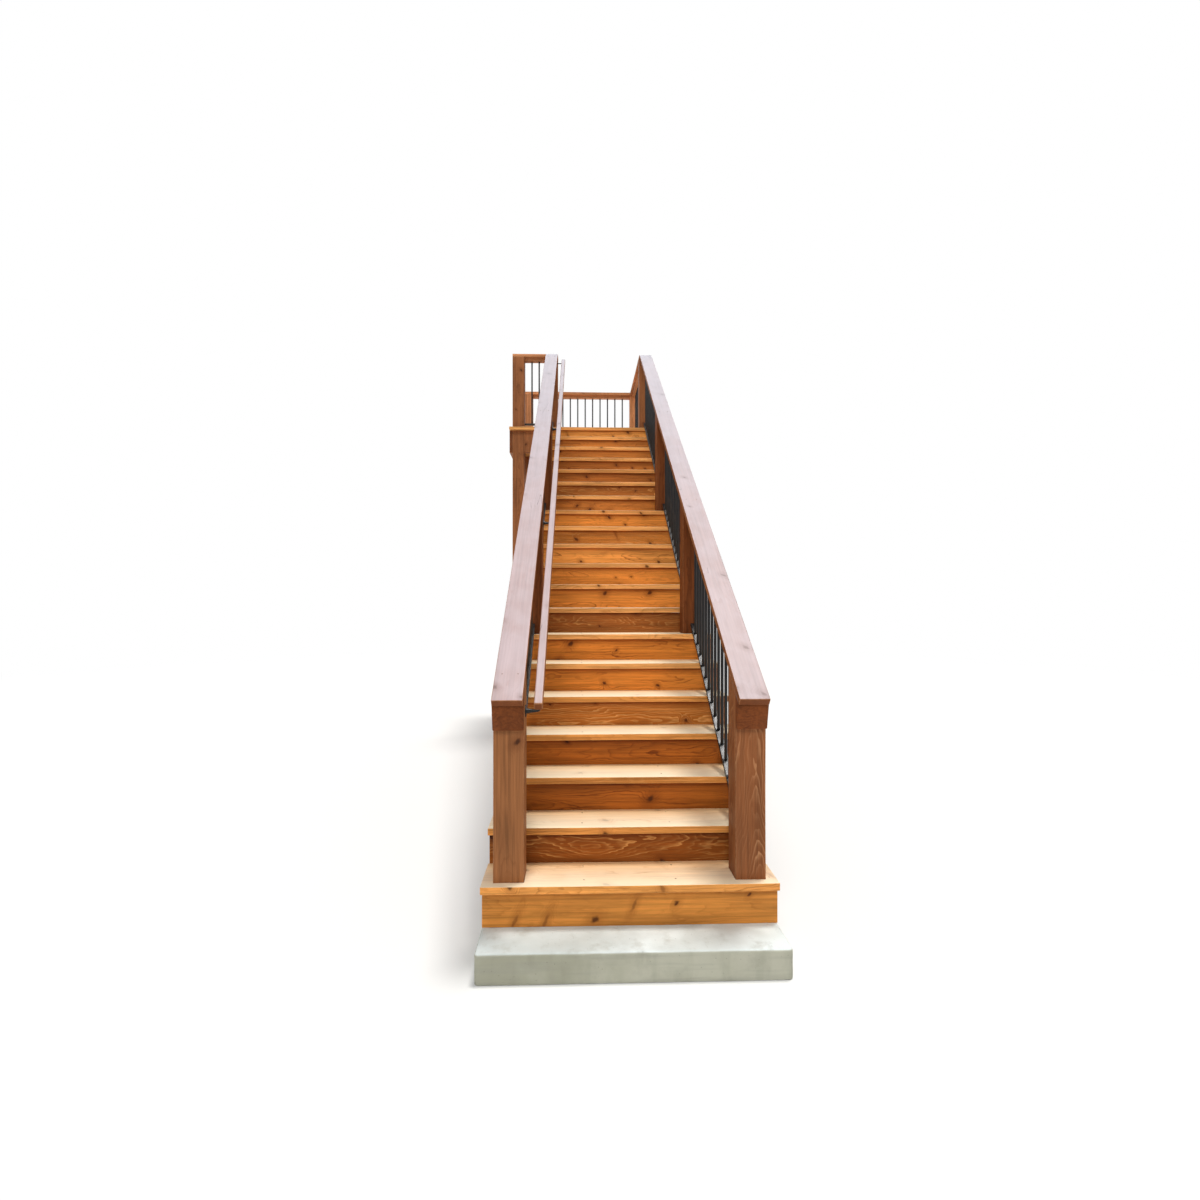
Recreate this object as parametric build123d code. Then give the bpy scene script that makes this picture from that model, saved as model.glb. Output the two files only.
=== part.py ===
from build123d import *
import math
import os

# Straight timber deck stair with a landing at its top, in millimetres.
# X runs across the stair, Y up the flight, Z up.
# The origin is on the ground, on the stair's centreline, below the first nosing.

# Flight
RISE = 190.5
RUN = 266.7
TREAD_COUNT = 19
NOSING = 19.0
TREAD_THICK = 38.0
TREAD_EDGE = 3.0
TREAD_PAST_POST = 57.0
RISER_THICK = 19.0
RISER_SHORT = 7.0

# Concrete step at the foot
STEP_HEIGHT = 138.0
STEP_SHORT = 5.0
STEP_DEPTH = 610.0
STEP_SHOWN = 240.0
STEP_EDGE = 12.0
FIRST_RISE = 205.0

# Stringers
STRINGER_THICK = 38.0
STRINGER_THROAT = 131.0
MIDDLE_STRINGERS_APART = 464.0

# Posts
POST = 152.0
CLEAR_WIDTH = 1052.0
POST_SETBACK = 47.0
POST_FIT = 1.0
LOWER_POST_TREAD = 7
UPPER_POST_TREAD = 13
DECK_POST_INNER = 957.0
POST_EDGE = 4.0

# Guard on the flight
GUARD_HEIGHT = 933.0
CAP_THICK = 38.0
CAP_REACH = 80.0
SUB_RAIL_THICK = 38.0
SUB_RAIL_WIDTH = 89.0
HEAD_DROP = 166.0
HEAD_TOP_REACH = 53.0
HEAD_LOW_REACH = 22.0
BALUSTER_R = 9.5
BALUSTER_SIDES = 8
BALUSTER_PITCH_MOST = 97.0
SHOE_WIDTH = 40.0
SHOE_THICK = 20.0
SHOE_CLEAR = 20.0

# Handrail on the left guard
HANDRAIL = 44.0
HANDRAIL_GAP = 52.0
HANDRAIL_BELOW_CAP = 43.0
HANDRAIL_START = 0.0
HANDRAIL_SHORT = 67.0
HANDRAIL_EDGE = 6.0
BRACKET_DROP = 90.0
BRACKET_R = 6.0
BRACKET_SIDES = 8
BRACKET_BEND = 14.0
ROSE_R = 30.0
ROSE_THICK = 5.0
SADDLE_LENGTH = 64.0
SADDLE_WIDTH = 28.0
SADDLE_THICK = 4.0
TOP_PIN_IN = 85.0
TOP_ROSE_R = 16.0

# Landing
BOARD_COUNT = 12
BOARD_WIDTH = 140.0
BOARD_GAP = 5.0
BOARD_THICK = 38.0
LANDING_OVERHANG = 18.0
FRAME_THICK = 38.0
RIM_DEPTH = 286.0
JOIST_DEPTH = 235.0
JOIST_PITCH = 406.0
LANDING_GUARD_MORE = 17.0
LANDING_PITCH_MOST = 118.0
LANDING_SHOE_CLEAR = 50.0
CAP_JOINT = 1.0

# Worked out from the sizes above
SLOPE = RISE / RUN
PLUMB = math.hypot(RISE, RUN) / RUN
SLOPE_COS = 1 / PLUMB
SLOPE_SIN = SLOPE / PLUMB
FIRST_TOP = STEP_HEIGHT + FIRST_RISE
FLOOR_TOP = FIRST_TOP + TREAD_COUNT * RISE
FLOOR_UNDER = FLOOR_TOP - BOARD_THICK
LANDING_FRONT = TREAD_COUNT * RUN
LANDING_BACK = LANDING_FRONT + BOARD_COUNT * BOARD_WIDTH + (BOARD_COUNT - 1) * BOARD_GAP
RISER_FACE = NOSING
RISER_BACK = NOSING + RISER_THICK
TREAD_DEPTH = RUN + NOSING
POST_INNER = CLEAR_WIDTH / 2
POST_OUTER = POST_INNER + POST
TREAD_HALF = POST_OUTER + TREAD_PAST_POST
RISER_HALF = TREAD_HALF - RISER_SHORT
STEP_HALF = TREAD_HALF - STEP_SHORT
POST_MID = POST_INNER + POST / 2
SUB_RAIL_INNER = POST_MID - SUB_RAIL_WIDTH / 2
STRINGER_OUTER = POST_OUTER + STRINGER_THICK
DECK_POST_OUTER = DECK_POST_INNER + POST
LANDING_LEFT = -(DECK_POST_OUTER + FRAME_THICK)
TOP_NEWEL_FRONT = LANDING_FRONT + POST_SETBACK
TOP_NEWEL_BACK = TOP_NEWEL_FRONT + POST
FAR_POST_BACK = LANDING_BACK - LANDING_OVERHANG - FRAME_THICK
FAR_POST_FRONT = FAR_POST_BACK - POST
HEADER_FRONT = LANDING_FRONT + RISER_BACK
HANDRAIL_HEIGHT = GUARD_HEIGHT - HANDRAIL_BELOW_CAP
HANDRAIL_END = LANDING_FRONT - HANDRAIL_SHORT
HANDRAIL_NEAR = POST_INNER - HANDRAIL_GAP
HANDRAIL_MID = HANDRAIL_NEAR - HANDRAIL / 2
GUARD_TOP = FLOOR_TOP + GUARD_HEIGHT + LANDING_GUARD_MORE
LEVEL_CAP_UNDER = GUARD_TOP - CAP_THICK
LEVEL_RAIL_UNDER = LEVEL_CAP_UNDER - SUB_RAIL_THICK


def tread_top(number):
    """Height of a tread's upper face, the lowest tread being number 1."""
    return FIRST_TOP + (number - 1) * RISE


def nosing_y(number):
    """Place of a tread's front edge."""
    return (number - 1) * RUN


def nosing_line(y):
    """Height of the line that touches every nosing."""
    return FIRST_TOP + y * SLOPE


def block(x0, x1, y0, y1, z0, z1):
    """A squared timber between two corners."""
    return Pos(x0, y0, z0) * Box(x1 - x0, y1 - y0, z1 - z0, align=(Align.MIN,) * 3)


def side_profile(points, x0, x1):
    """A shape drawn from the side as (y, z) points and carried across from x0 to x1."""
    outline = Polyline(*[(x0, y, z) for y, z in points], close=True)
    return extrude(make_face(outline), amount=x1 - x0, dir=(1, 0, 0))


def mirrored(solid):
    """The same piece on the other side of the centreline."""
    return solid.mirror(Plane.YZ)


def post_box(x0, y0, clearance):
    """The space that a post takes, from the ground to the top of the guard."""
    return block(
        x0 - clearance, x0 + POST + clearance,
        y0 - clearance, y0 + POST + clearance,
        -clearance, GUARD_TOP,
    )


def flight_posts():
    """Front-face places of the three post pairs that stand on the flight."""
    return [nosing_y(number) + POST_SETBACK for number in (1, LOWER_POST_TREAD, UPPER_POST_TREAD)]


def ease_upright_edges(solid, size):
    """Takes the sharp corner off the four upright edges of a post."""
    return chamfer(solid.edges().filter_by(Axis.Z), size)


def cap_top(y):
    """Height of the sloping cap's upper face."""
    return nosing_line(y) + GUARD_HEIGHT


def cap_under(y):
    return cap_top(y) - CAP_THICK * PLUMB


def sub_rail_under(y):
    return cap_under(y) - SUB_RAIL_THICK * PLUMB


def shoe_under(y):
    """Height of the lower face of the bar that the sloping balusters stand on."""
    return nosing_line(y) + SHOE_CLEAR


def shoe_top(y):
    return shoe_under(y) + SHOE_THICK * PLUMB


def handrail_top(y):
    return cap_top(y) - HANDRAIL_BELOW_CAP


def handrail_under(y):
    return handrail_top(y) - HANDRAIL * PLUMB


def sloping_strip(start, end, low_at, high_at, x0, x1):
    """A sloping piece with plumb ends between two height lines."""
    corners = [(start, low_at(start)), (start, high_at(start)), (end, high_at(end)), (end, low_at(end))]
    return side_profile(corners, x0, x1)


# Concrete step
def concrete_step():
    front = RISER_FACE - STEP_SHOWN
    slab = block(-STEP_HALF, STEP_HALF, front, front + STEP_DEPTH, 0, STEP_HEIGHT)
    top_edges = slab.edges().group_by(Axis.Z)[-1]
    return fillet(top_edges, STEP_EDGE)


# Treads and risers
def tread(number):
    y0 = nosing_y(number)
    top = tread_top(number)
    board = block(-TREAD_HALF, TREAD_HALF, y0, y0 + TREAD_DEPTH, top - TREAD_THICK, top)
    front_edge = board.edges().filter_by(Axis.X).group_by(Axis.Y)[0]
    board = fillet(front_edge, TREAD_EDGE)
    for post_y in flight_posts():
        if y0 < post_y < y0 + TREAD_DEPTH:
            board -= post_box(POST_INNER, post_y, POST_FIT)
            board -= post_box(-POST_OUTER, post_y, POST_FIT)
    return board


def riser(number):
    y0 = nosing_y(number) + RISER_FACE
    low = STEP_HEIGHT if number == 1 else tread_top(number - 1) - TREAD_THICK
    high = tread_top(number) - TREAD_THICK
    return block(-RISER_HALF, RISER_HALF, y0, y0 + RISER_THICK, low, high)


# Stringers cut like a saw to carry the treads
def stringer(x0):
    points = [(RISER_BACK, STEP_HEIGHT)]
    for number in range(1, TREAD_COUNT + 1):
        seat = tread_top(number) - TREAD_THICK
        points.append((nosing_y(number) + RISER_BACK, seat))
        points.append((nosing_y(number + 1) + RISER_BACK, seat))
    end_y, end_z = points[-1]
    end_low = end_z - STRINGER_THROAT * PLUMB
    points.append((end_y, end_low))
    points.append((end_y - (end_low - STEP_HEIGHT) / SLOPE, STEP_HEIGHT))
    return side_profile(points, x0, x0 + STRINGER_THICK)


# Posts on the flight, cut at the top to the slope of the cap
def flight_post(front, foot):
    back = front + POST
    corners = [(front, foot), (front, cap_under(front)), (back, cap_under(back)), (back, foot)]
    return ease_upright_edges(side_profile(corners, POST_INNER, POST_OUTER), POST_EDGE)


def newel_head():
    """The block on the front of a foot newel that carries the overhanging cap; its face leans forward."""
    foot = cap_under(POST_SETBACK) - HEAD_DROP
    top_front = POST_SETBACK - HEAD_TOP_REACH
    corners = [
        (POST_SETBACK, foot),
        (POST_SETBACK - HEAD_LOW_REACH, foot),
        (top_front, cap_under(top_front)),
        (POST_SETBACK, cap_under(POST_SETBACK)),
    ]
    return side_profile(corners, POST_INNER, POST_OUTER)


def landing_post(x0, front):
    post = block(x0, x0 + POST, front, front + POST, 0, LEVEL_CAP_UNDER)
    return ease_upright_edges(post, POST_EDGE)


# Sloping rails
def sub_rail(start, end):
    outer = SUB_RAIL_INNER + SUB_RAIL_WIDTH
    return sloping_strip(start, end, sub_rail_under, cap_under, SUB_RAIL_INNER, outer)


def sloping_cap():
    """A flat board on the posts, cut square at its foot and planed level where it meets the landing."""
    start = POST_SETBACK - CAP_REACH
    start_low = (start + CAP_THICK * SLOPE_SIN, cap_top(start) - CAP_THICK * SLOPE_COS)
    bend = LANDING_FRONT + LANDING_GUARD_MORE / SLOPE
    end = TOP_NEWEL_FRONT
    corners = [start_low, (start, cap_top(start)), (bend, GUARD_TOP), (end, GUARD_TOP), (end, cap_under(end))]
    return side_profile(corners, POST_INNER, POST_OUTER)


# Metal balusters on a bottom bar, one panel in each bay
def bay_places(start, end, most):
    """Even places for round bars between two posts, no further apart than the given pitch."""
    spaces = math.ceil((end - start) / most)
    step = (end - start) / spaces
    return [start + step * index for index in range(1, spaces)]


def baluster(height):
    """A round bar drawn with few sides, standing on the origin."""
    return extrude(RegularPolygon(BALUSTER_R, BALUSTER_SIDES), amount=height)


def sloping_panel(start, end):
    panel = sloping_strip(
        start, end, shoe_under, shoe_top, POST_MID - SHOE_WIDTH / 2, POST_MID + SHOE_WIDTH / 2
    )
    space = sloping_strip(start, end, shoe_under, sub_rail_under, POST_INNER, POST_OUTER)
    for y in bay_places(start, end, BALUSTER_PITCH_MOST):
        low = (shoe_under(y) + shoe_top(y)) / 2
        panel += (Pos(POST_MID, y, low) * baluster(GUARD_HEIGHT)) & space
    return panel


def level_panel(start, end):
    """A landing panel drawn along Y through the middle of a post, at x = 0."""
    low = FLOOR_TOP + LANDING_SHOE_CLEAR
    panel = block(-SHOE_WIDTH / 2, SHOE_WIDTH / 2, start, end, low, low + SHOE_THICK)
    foot = low + SHOE_THICK / 2
    for y in bay_places(start, end, LANDING_PITCH_MOST):
        panel += Pos(0, y, foot) * baluster(LEVEL_RAIL_UNDER - foot)
    return panel


# Handrail and its brackets
def handrail():
    sunk_y, sunk_z = HANDRAIL * SLOPE_SIN, -HANDRAIL * SLOPE_COS
    start_z, end_z = handrail_top(HANDRAIL_START), handrail_top(HANDRAIL_END)
    corners = [
        (HANDRAIL_START, start_z),
        (HANDRAIL_END, end_z),
        (HANDRAIL_END + sunk_y, end_z + sunk_z),
        (HANDRAIL_START + sunk_y, start_z + sunk_z),
    ]
    rail = side_profile(corners, -HANDRAIL_NEAR, -HANDRAIL_NEAR + HANDRAIL)
    long_edges = [edge for edge in rail.edges() if edge.length > HANDRAIL_END / 2]
    return fillet(long_edges, HANDRAIL_EDGE)


def rose(face_x, y, z, radius):
    """A round plate against a face that looks towards the stair's centreline."""
    plate = Cylinder(radius, ROSE_THICK, align=(Align.CENTER, Align.CENTER, Align.MIN))
    return Pos(face_x, y, z) * Rot(0, 90, 0) * plate


def bracket(y):
    """A rose on the post, a bent arm, and a plate that lies under the handrail."""
    rail_under = handrail_under(y)
    arm_z = rail_under - BRACKET_DROP
    route = FilletPolyline(
        (-POST_INNER, y, arm_z), (-HANDRAIL_MID, y, arm_z), (-HANDRAIL_MID, y, rail_under),
        radius=BRACKET_BEND,
    )
    start_plane = Plane(origin=(-POST_INNER, y, arm_z), z_dir=(1, 0, 0))
    arm = sweep(start_plane * RegularPolygon(BRACKET_R, BRACKET_SIDES), path=route)
    half = SADDLE_LENGTH / 2

    def plate_under(place):
        return handrail_under(place) - SADDLE_THICK * PLUMB

    def over_the_plate(place):
        return handrail_under(place) + SADDLE_LENGTH

    plate = sloping_strip(
        y - half, y + half, plate_under, handrail_under,
        -HANDRAIL_MID - SADDLE_WIDTH / 2, -HANDRAIL_MID + SADDLE_WIDTH / 2,
    )
    above_plate = sloping_strip(
        y - half, y + half, handrail_under, over_the_plate,
        -HANDRAIL_MID - HANDRAIL, -HANDRAIL_MID + HANDRAIL,
    )
    return rose(-POST_INNER, y, arm_z, ROSE_R) + (arm - above_plate) + plate


def top_pin(y):
    """A small rose on the sub-rail and a straight pin into the handrail's side."""
    z = (cap_under(y) + sub_rail_under(y)) / 2
    length = SUB_RAIL_INNER - HANDRAIL_NEAR
    start_plane = Plane(origin=(-SUB_RAIL_INNER, y, z), z_dir=(1, 0, 0))
    pin = extrude(start_plane * RegularPolygon(BRACKET_R, BRACKET_SIDES), amount=length)
    return rose(-SUB_RAIL_INNER, y, z, TOP_ROSE_R) + pin


# Landing floor and frame
def landing_posts():
    """Corner and front-face places of every post that passes the landing's floor."""
    return [
        (POST_INNER, TOP_NEWEL_FRONT),
        (-POST_OUTER, TOP_NEWEL_FRONT),
        (-DECK_POST_OUTER, TOP_NEWEL_FRONT),
        (POST_INNER, FAR_POST_FRONT),
        (-DECK_POST_OUTER, FAR_POST_FRONT),
    ]


def landing_board(index):
    y0 = LANDING_FRONT + index * (BOARD_WIDTH + BOARD_GAP)
    board = block(LANDING_LEFT, TREAD_HALF, y0, y0 + BOARD_WIDTH, FLOOR_UNDER, FLOOR_TOP)
    for x0, front in landing_posts():
        if front - POST_FIT < y0 + BOARD_WIDTH and front + POST + POST_FIT > y0:
            board -= post_box(x0, front, POST_FIT)
    return board


def rim(x0, x1, y0, y1):
    return block(x0, x1, y0, y1, FLOOR_UNDER - RIM_DEPTH, FLOOR_UNDER)


def joist(x_mid, y0):
    half = FRAME_THICK / 2
    return block(x_mid - half, x_mid + half, y0, FAR_POST_BACK, FLOOR_UNDER - JOIST_DEPTH, FLOOR_UNDER)


def level_sub_rail(x0, x1, y0, y1):
    return block(x0, x1, y0, y1, LEVEL_RAIL_UNDER, LEVEL_CAP_UNDER)


def level_cap(x0, x1, y0, y1):
    return block(x0, x1, y0, y1, LEVEL_CAP_UNDER, GUARD_TOP)


def pair(solid):
    return [solid, mirrored(solid)]


nodes = {}
nodes["concrete_step"] = [concrete_step()]
for number in range(1, TREAD_COUNT + 1):
    nodes[f"tread_{number:02d}"] = [tread(number)]
nodes["risers"] = [riser(number) for number in range(1, TREAD_COUNT + 2)]
nodes["outer_stringers"] = pair(stringer(POST_OUTER))
nodes["middle_stringers"] = pair(stringer((MIDDLE_STRINGERS_APART - STRINGER_THICK) / 2))

foot_y, lower_y, upper_y = flight_posts()
nodes["foot_newels"] = pair(flight_post(foot_y, STEP_HEIGHT))
nodes["lower_posts"] = pair(flight_post(lower_y, 0))
nodes["upper_posts"] = pair(flight_post(upper_y, 0))
nodes["top_newels"] = pair(landing_post(POST_INNER, TOP_NEWEL_FRONT))
nodes["deck_side_post"] = [landing_post(-DECK_POST_OUTER, TOP_NEWEL_FRONT)]
nodes["far_posts"] = [landing_post(x0, FAR_POST_FRONT) for x0 in (POST_INNER, -DECK_POST_OUTER)]

bays = [
    (foot_y + POST, lower_y),
    (lower_y + POST, upper_y),
    (upper_y + POST, TOP_NEWEL_FRONT),
]
nodes["newel_heads"] = pair(newel_head())
nodes["stair_sub_rails"] = [rail for start, end in bays for rail in pair(sub_rail(start, end))]
nodes["stair_caps"] = pair(sloping_cap())
right_panels = [sloping_panel(start, end) for start, end in bays]
nodes["right_balusters"] = right_panels
nodes["left_balusters"] = [mirrored(panel) for panel in right_panels]
nodes["handrail"] = [handrail()]
post_brackets = [bracket(front + POST / 2) for front in flight_posts()]
nodes["handrail_brackets"] = post_brackets + [top_pin(HANDRAIL_END - TOP_PIN_IN)]

nodes["landing_boards"] = [landing_board(index) for index in range(BOARD_COUNT)]
short_rim_back = TOP_NEWEL_FRONT + FRAME_THICK
nodes["front_header"] = [
    rim(-POST_INNER, POST_INNER, HEADER_FRONT, HEADER_FRONT + FRAME_THICK),
    rim(-DECK_POST_INNER, -STRINGER_OUTER, TOP_NEWEL_FRONT, short_rim_back),
]
nodes["landing_joists"] = [
    joist(x, HEADER_FRONT + FRAME_THICK) for x in (-JOIST_PITCH, 0, JOIST_PITCH)
] + [
    joist(-2 * JOIST_PITCH, short_rim_back),
    rim(-STRINGER_OUTER, -POST_OUTER, HEADER_FRONT, FAR_POST_BACK),
]
nodes["right_rim"] = [rim(POST_OUTER, STRINGER_OUTER, HEADER_FRONT, FAR_POST_BACK)]
nodes["left_rim"] = [rim(LANDING_LEFT, -DECK_POST_OUTER, TOP_NEWEL_FRONT, FAR_POST_BACK)]
nodes["back_rim"] = [rim(LANDING_LEFT, STRINGER_OUTER, FAR_POST_BACK, FAR_POST_BACK + FRAME_THICK)]

half_rail = SUB_RAIL_WIDTH / 2
far_mid = FAR_POST_FRONT + POST / 2
short_mid = TOP_NEWEL_FRONT + POST / 2
nodes["landing_sub_rails"] = [
    level_sub_rail(POST_MID - half_rail, POST_MID + half_rail, TOP_NEWEL_BACK, FAR_POST_FRONT),
    level_sub_rail(-DECK_POST_INNER, POST_INNER, far_mid - half_rail, far_mid + half_rail),
    level_sub_rail(-DECK_POST_INNER, -POST_OUTER, short_mid - half_rail, short_mid + half_rail),
]
nodes["landing_caps"] = [
    level_cap(POST_INNER, POST_OUTER, TOP_NEWEL_FRONT, FAR_POST_BACK),
    level_cap(-DECK_POST_OUTER, POST_INNER - CAP_JOINT, FAR_POST_FRONT, FAR_POST_BACK),
    level_cap(-DECK_POST_OUTER, -POST_INNER, TOP_NEWEL_FRONT, TOP_NEWEL_BACK),
]
right_level = Pos(POST_MID, 0, 0) * level_panel(TOP_NEWEL_BACK, FAR_POST_FRONT)
far_level = Pos(0, far_mid, 0) * Rot(0, 0, -90) * level_panel(-DECK_POST_INNER, POST_INNER)
short_level = Pos(0, short_mid, 0) * Rot(0, 0, -90) * level_panel(-DECK_POST_INNER, -POST_OUTER)
nodes["landing_balusters"] = [right_level, far_level, short_level]

os.makedirs("parts", exist_ok=True)
for name, pieces in nodes.items():
    solids = [solid for piece in pieces for solid in piece.solids()]
    export_step(Compound(children=solids) if len(solids) > 1 else solids[0], f"parts/{name}.step")
    print(name, len(solids))
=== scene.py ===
import math

import bpy
import numpy as np
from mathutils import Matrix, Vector


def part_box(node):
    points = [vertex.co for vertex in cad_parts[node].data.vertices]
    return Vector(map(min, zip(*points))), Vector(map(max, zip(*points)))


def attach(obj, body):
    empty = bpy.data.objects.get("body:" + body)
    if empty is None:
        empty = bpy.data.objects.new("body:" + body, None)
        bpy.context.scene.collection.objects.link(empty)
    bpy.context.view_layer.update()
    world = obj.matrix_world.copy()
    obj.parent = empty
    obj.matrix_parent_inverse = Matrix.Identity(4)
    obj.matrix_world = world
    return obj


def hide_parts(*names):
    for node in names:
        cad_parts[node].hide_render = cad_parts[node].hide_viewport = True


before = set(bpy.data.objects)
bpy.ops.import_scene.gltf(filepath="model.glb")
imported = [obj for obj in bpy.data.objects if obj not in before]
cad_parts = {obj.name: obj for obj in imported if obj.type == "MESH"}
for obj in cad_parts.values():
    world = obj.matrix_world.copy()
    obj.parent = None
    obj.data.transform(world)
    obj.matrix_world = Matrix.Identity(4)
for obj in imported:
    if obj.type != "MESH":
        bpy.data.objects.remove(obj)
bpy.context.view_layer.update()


# Measures of the stair, read from the frame, in metres


class Box:
    """The box round a node: its low and high corners, its size and its middle."""

    def __init__(self, node):
        low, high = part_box(node)
        self.low, self.high = np.array(low), np.array(high)
        self.size = self.high - self.low
        self.middle = (self.low + self.high) / 2


TREAD_COUNT = sum(name.startswith("tread_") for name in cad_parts)
TREADS = [Box(f"tread_{number:02d}") for number in range(1, TREAD_COUNT + 1)]
CONCRETE_STEP = Box("concrete_step")
RISERS = Box("risers")
NEWELS = Box("foot_newels")
LOWER_POSTS = Box("lower_posts")
UPPER_POSTS = Box("upper_posts")
TOP_NEWELS = Box("top_newels")
DECK_POST = Box("deck_side_post")
FAR_POSTS = Box("far_posts")
SUB_RAILS = Box("stair_sub_rails")
CAPS = Box("stair_caps")
HEADS = Box("newel_heads")
HANDRAIL = Box("handrail")
BRACKETS = Box("handrail_brackets")
PANELS = Box("right_balusters")
BOARDS = Box("landing_boards")
JOISTS = Box("landing_joists")
HEADER = Box("front_header")
RIGHT_RIM = Box("right_rim")
LEFT_RIM = Box("left_rim")
BACK_RIM = Box("back_rim")
LEVEL_CAPS = Box("landing_caps")
LEVEL_SUBS = Box("landing_sub_rails")
LEVEL_PANELS = Box("landing_balusters")
STRINGERS = Box("outer_stringers")
MIDDLE_STRINGERS = Box("middle_stringers")

RISE = TREADS[1].high[2] - TREADS[0].high[2]
RUN = TREADS[1].low[1] - TREADS[0].low[1]
SLOPE = RISE / RUN
ANGLE = math.atan(SLOPE)
PLUMB = 1 / math.cos(ANGLE)
FIRST_TOP = TREADS[0].high[2]
TREAD_THICK = TREADS[0].size[2]
TREAD_DEPTH = TREADS[0].size[1]
POST = NEWELS.size[1]
POST_OUTER = NEWELS.high[0]
POST_INNER = POST_OUTER - POST
POST_MID = POST_INNER + POST / 2
CAP_THICK = LEVEL_CAPS.size[2]
SUB_PLUMB = SUB_RAILS.size[2] - SLOPE * SUB_RAILS.size[1]
SUB_WIDTH = 2 * (SUB_RAILS.high[0] - POST_MID)
LEVEL_SUB_WIDTH = 2 * (LEVEL_SUBS.high[0] - POST_MID)
SHOE_WIDTH = PANELS.size[0]
RIM_THICK = BACK_RIM.size[1]
STEP_SHOWN = RISERS.low[1] - CONCRETE_STEP.low[1]

# The low x of the right and left posts, and the middle lines of the landing's far and short guards
POST_LINES = (POST_INNER, -POST_OUTER)
FAR_Y = FAR_POSTS.middle[1]
SHORT_Y = TOP_NEWELS.middle[1]

# Posts that carry handrail brackets, the bays between posts, and the level runs of the landing's guard
BRACKET_POSTS = (NEWELS, LOWER_POSTS, UPPER_POSTS)
BAYS = [
    (NEWELS.high[1], LOWER_POSTS.low[1]),
    (LOWER_POSTS.high[1], UPPER_POSTS.low[1]),
    (UPPER_POSTS.high[1], TOP_NEWELS.low[1]),
]
LEVEL_RUNS = [
    ((POST_MID, TOP_NEWELS.high[1]), (POST_MID, FAR_POSTS.low[1])),
    ((DECK_POST.high[0], FAR_Y), (POST_INNER, FAR_Y)),
    ((DECK_POST.high[0], SHORT_Y), (-POST_OUTER, SHORT_Y)),
]

# Sizes that only the finish needs, in metres
EASED_EDGE = 0.003
ROUGH_EDGE = 0.004
RISER_EDGE = 0.0015
BRACKET_EDGE = 0.0015
HANDRAIL_EDGE = 0.007
FLAT_HOLD = 0.0015
POST_FIT = 0.001
HEAD_FOOT = 0.022
BOARD_COUNT = 12
BOARD_GAP = 0.005
BALUSTER_R = 0.0095
BALUSTER_PITCH_MOST = 0.097
LANDING_PITCH_MOST = 0.118
SHOE_THICK = 0.020
RISER_THICK = 0.019
JOIST_PITCH = 0.406
JOIST_LINES = (-JOIST_PITCH, 0.0, JOIST_PITCH)
JOIST_DEPTH = 0.235
ROSE_R = 0.030
ROSE_THICK = 0.005
BOARD_WIDTH = (BOARDS.size[1] + BOARD_GAP) / BOARD_COUNT - BOARD_GAP
LONG_WANDER = 0.0012
POST_FINISH = {"edge": ROUGH_EDGE, "spacing": 0.1, "wander": 0.0009}
SHOE_FINISH = {"edge": 0.002, "wander": 0.0}
SHEET_FINISH = {"edge": 0.0004, "wander": 0.0, "spacing": 0.2}
SHARP_ANGLE = math.radians(50)

X_AXIS = np.array([1.0, 0.0, 0.0])
Y_AXIS = np.array([0.0, 1.0, 0.0])
Z_AXIS = np.array([0.0, 0.0, 1.0])
UP_SLOPE = np.array([0.0, math.cos(ANGLE), math.sin(ANGLE)])
OUT_OF_SLOPE = np.array([0.0, -math.sin(ANGLE), math.cos(ANGLE)])

dice = np.random.default_rng(20)


# Surfaces


def rounded_section(width, thick, radius, arc_steps=4, flat_steps=2):
    """Points and outward directions round a rectangle with rounded corners, anticlockwise.

    Each corner is a quarter circle of the given radius; each flat side has a point close to
    each corner, which keeps the flat flat, and a few evenly spaced between them.
    """
    half = np.array([width / 2 - radius, thick / 2 - radius])
    signs = np.array([(1, 1), (-1, 1), (-1, -1), (1, -1)])
    hold = min(radius / 2, FLAT_HOLD)
    points, normals = [], []
    for corner in range(4):
        angles = math.radians(90 * corner) + np.linspace(0, math.pi / 2, arc_steps + 1)
        directions = np.stack([np.cos(angles), np.sin(angles)], 1)
        arc = half * signs[corner] + directions * radius
        start = arc[-1]
        end = half * signs[(corner + 1) % 4] + directions[-1] * radius
        length = np.linalg.norm(end - start)
        shares = np.linspace(hold / length, 1 - hold / length, flat_steps + 2)
        points += [arc, start + (end - start) * shares[:, None]]
        normals += [directions, np.repeat(directions[-1:], len(shares), 0)]
    return np.concatenate(points), np.concatenate(normals)


def loft_faces(rings, around):
    """Quads between closed rings, and a flat face on each end."""
    ring, step = np.meshgrid(np.arange(rings - 1), np.arange(around), indexing="ij")
    here, after = ring * around + step, ring * around + (step + 1) % around
    faces = np.stack([here, after, after + around, here + around], -1).reshape(-1, 4).tolist()
    faces.append(list(range(around))[::-1])
    faces.append(list(range((rings - 1) * around, rings * around)))
    return faces


def read_points(data):
    values = np.empty(len(data.vertices) * 3, np.float32)
    data.vertices.foreach_get("co", values)
    return values.reshape(-1, 3)


def read_attribute(data, title, key, width):
    values = np.empty(len(data.vertices) * width, np.float32)
    data.attributes[title].data.foreach_get(key, values)
    return values.reshape(-1, width)


def write_attribute(data, title, values):
    """Gives each point its number or its vector, in an attribute that is made if missing."""
    kind, key = ("FLOAT_VECTOR", "vector") if values.ndim == 2 else ("FLOAT", "value")
    layer = data.attributes.get(title) or data.attributes.new(title, kind, "POINT")
    layer.data.foreach_set(key, values.astype(np.float32).ravel())


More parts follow.
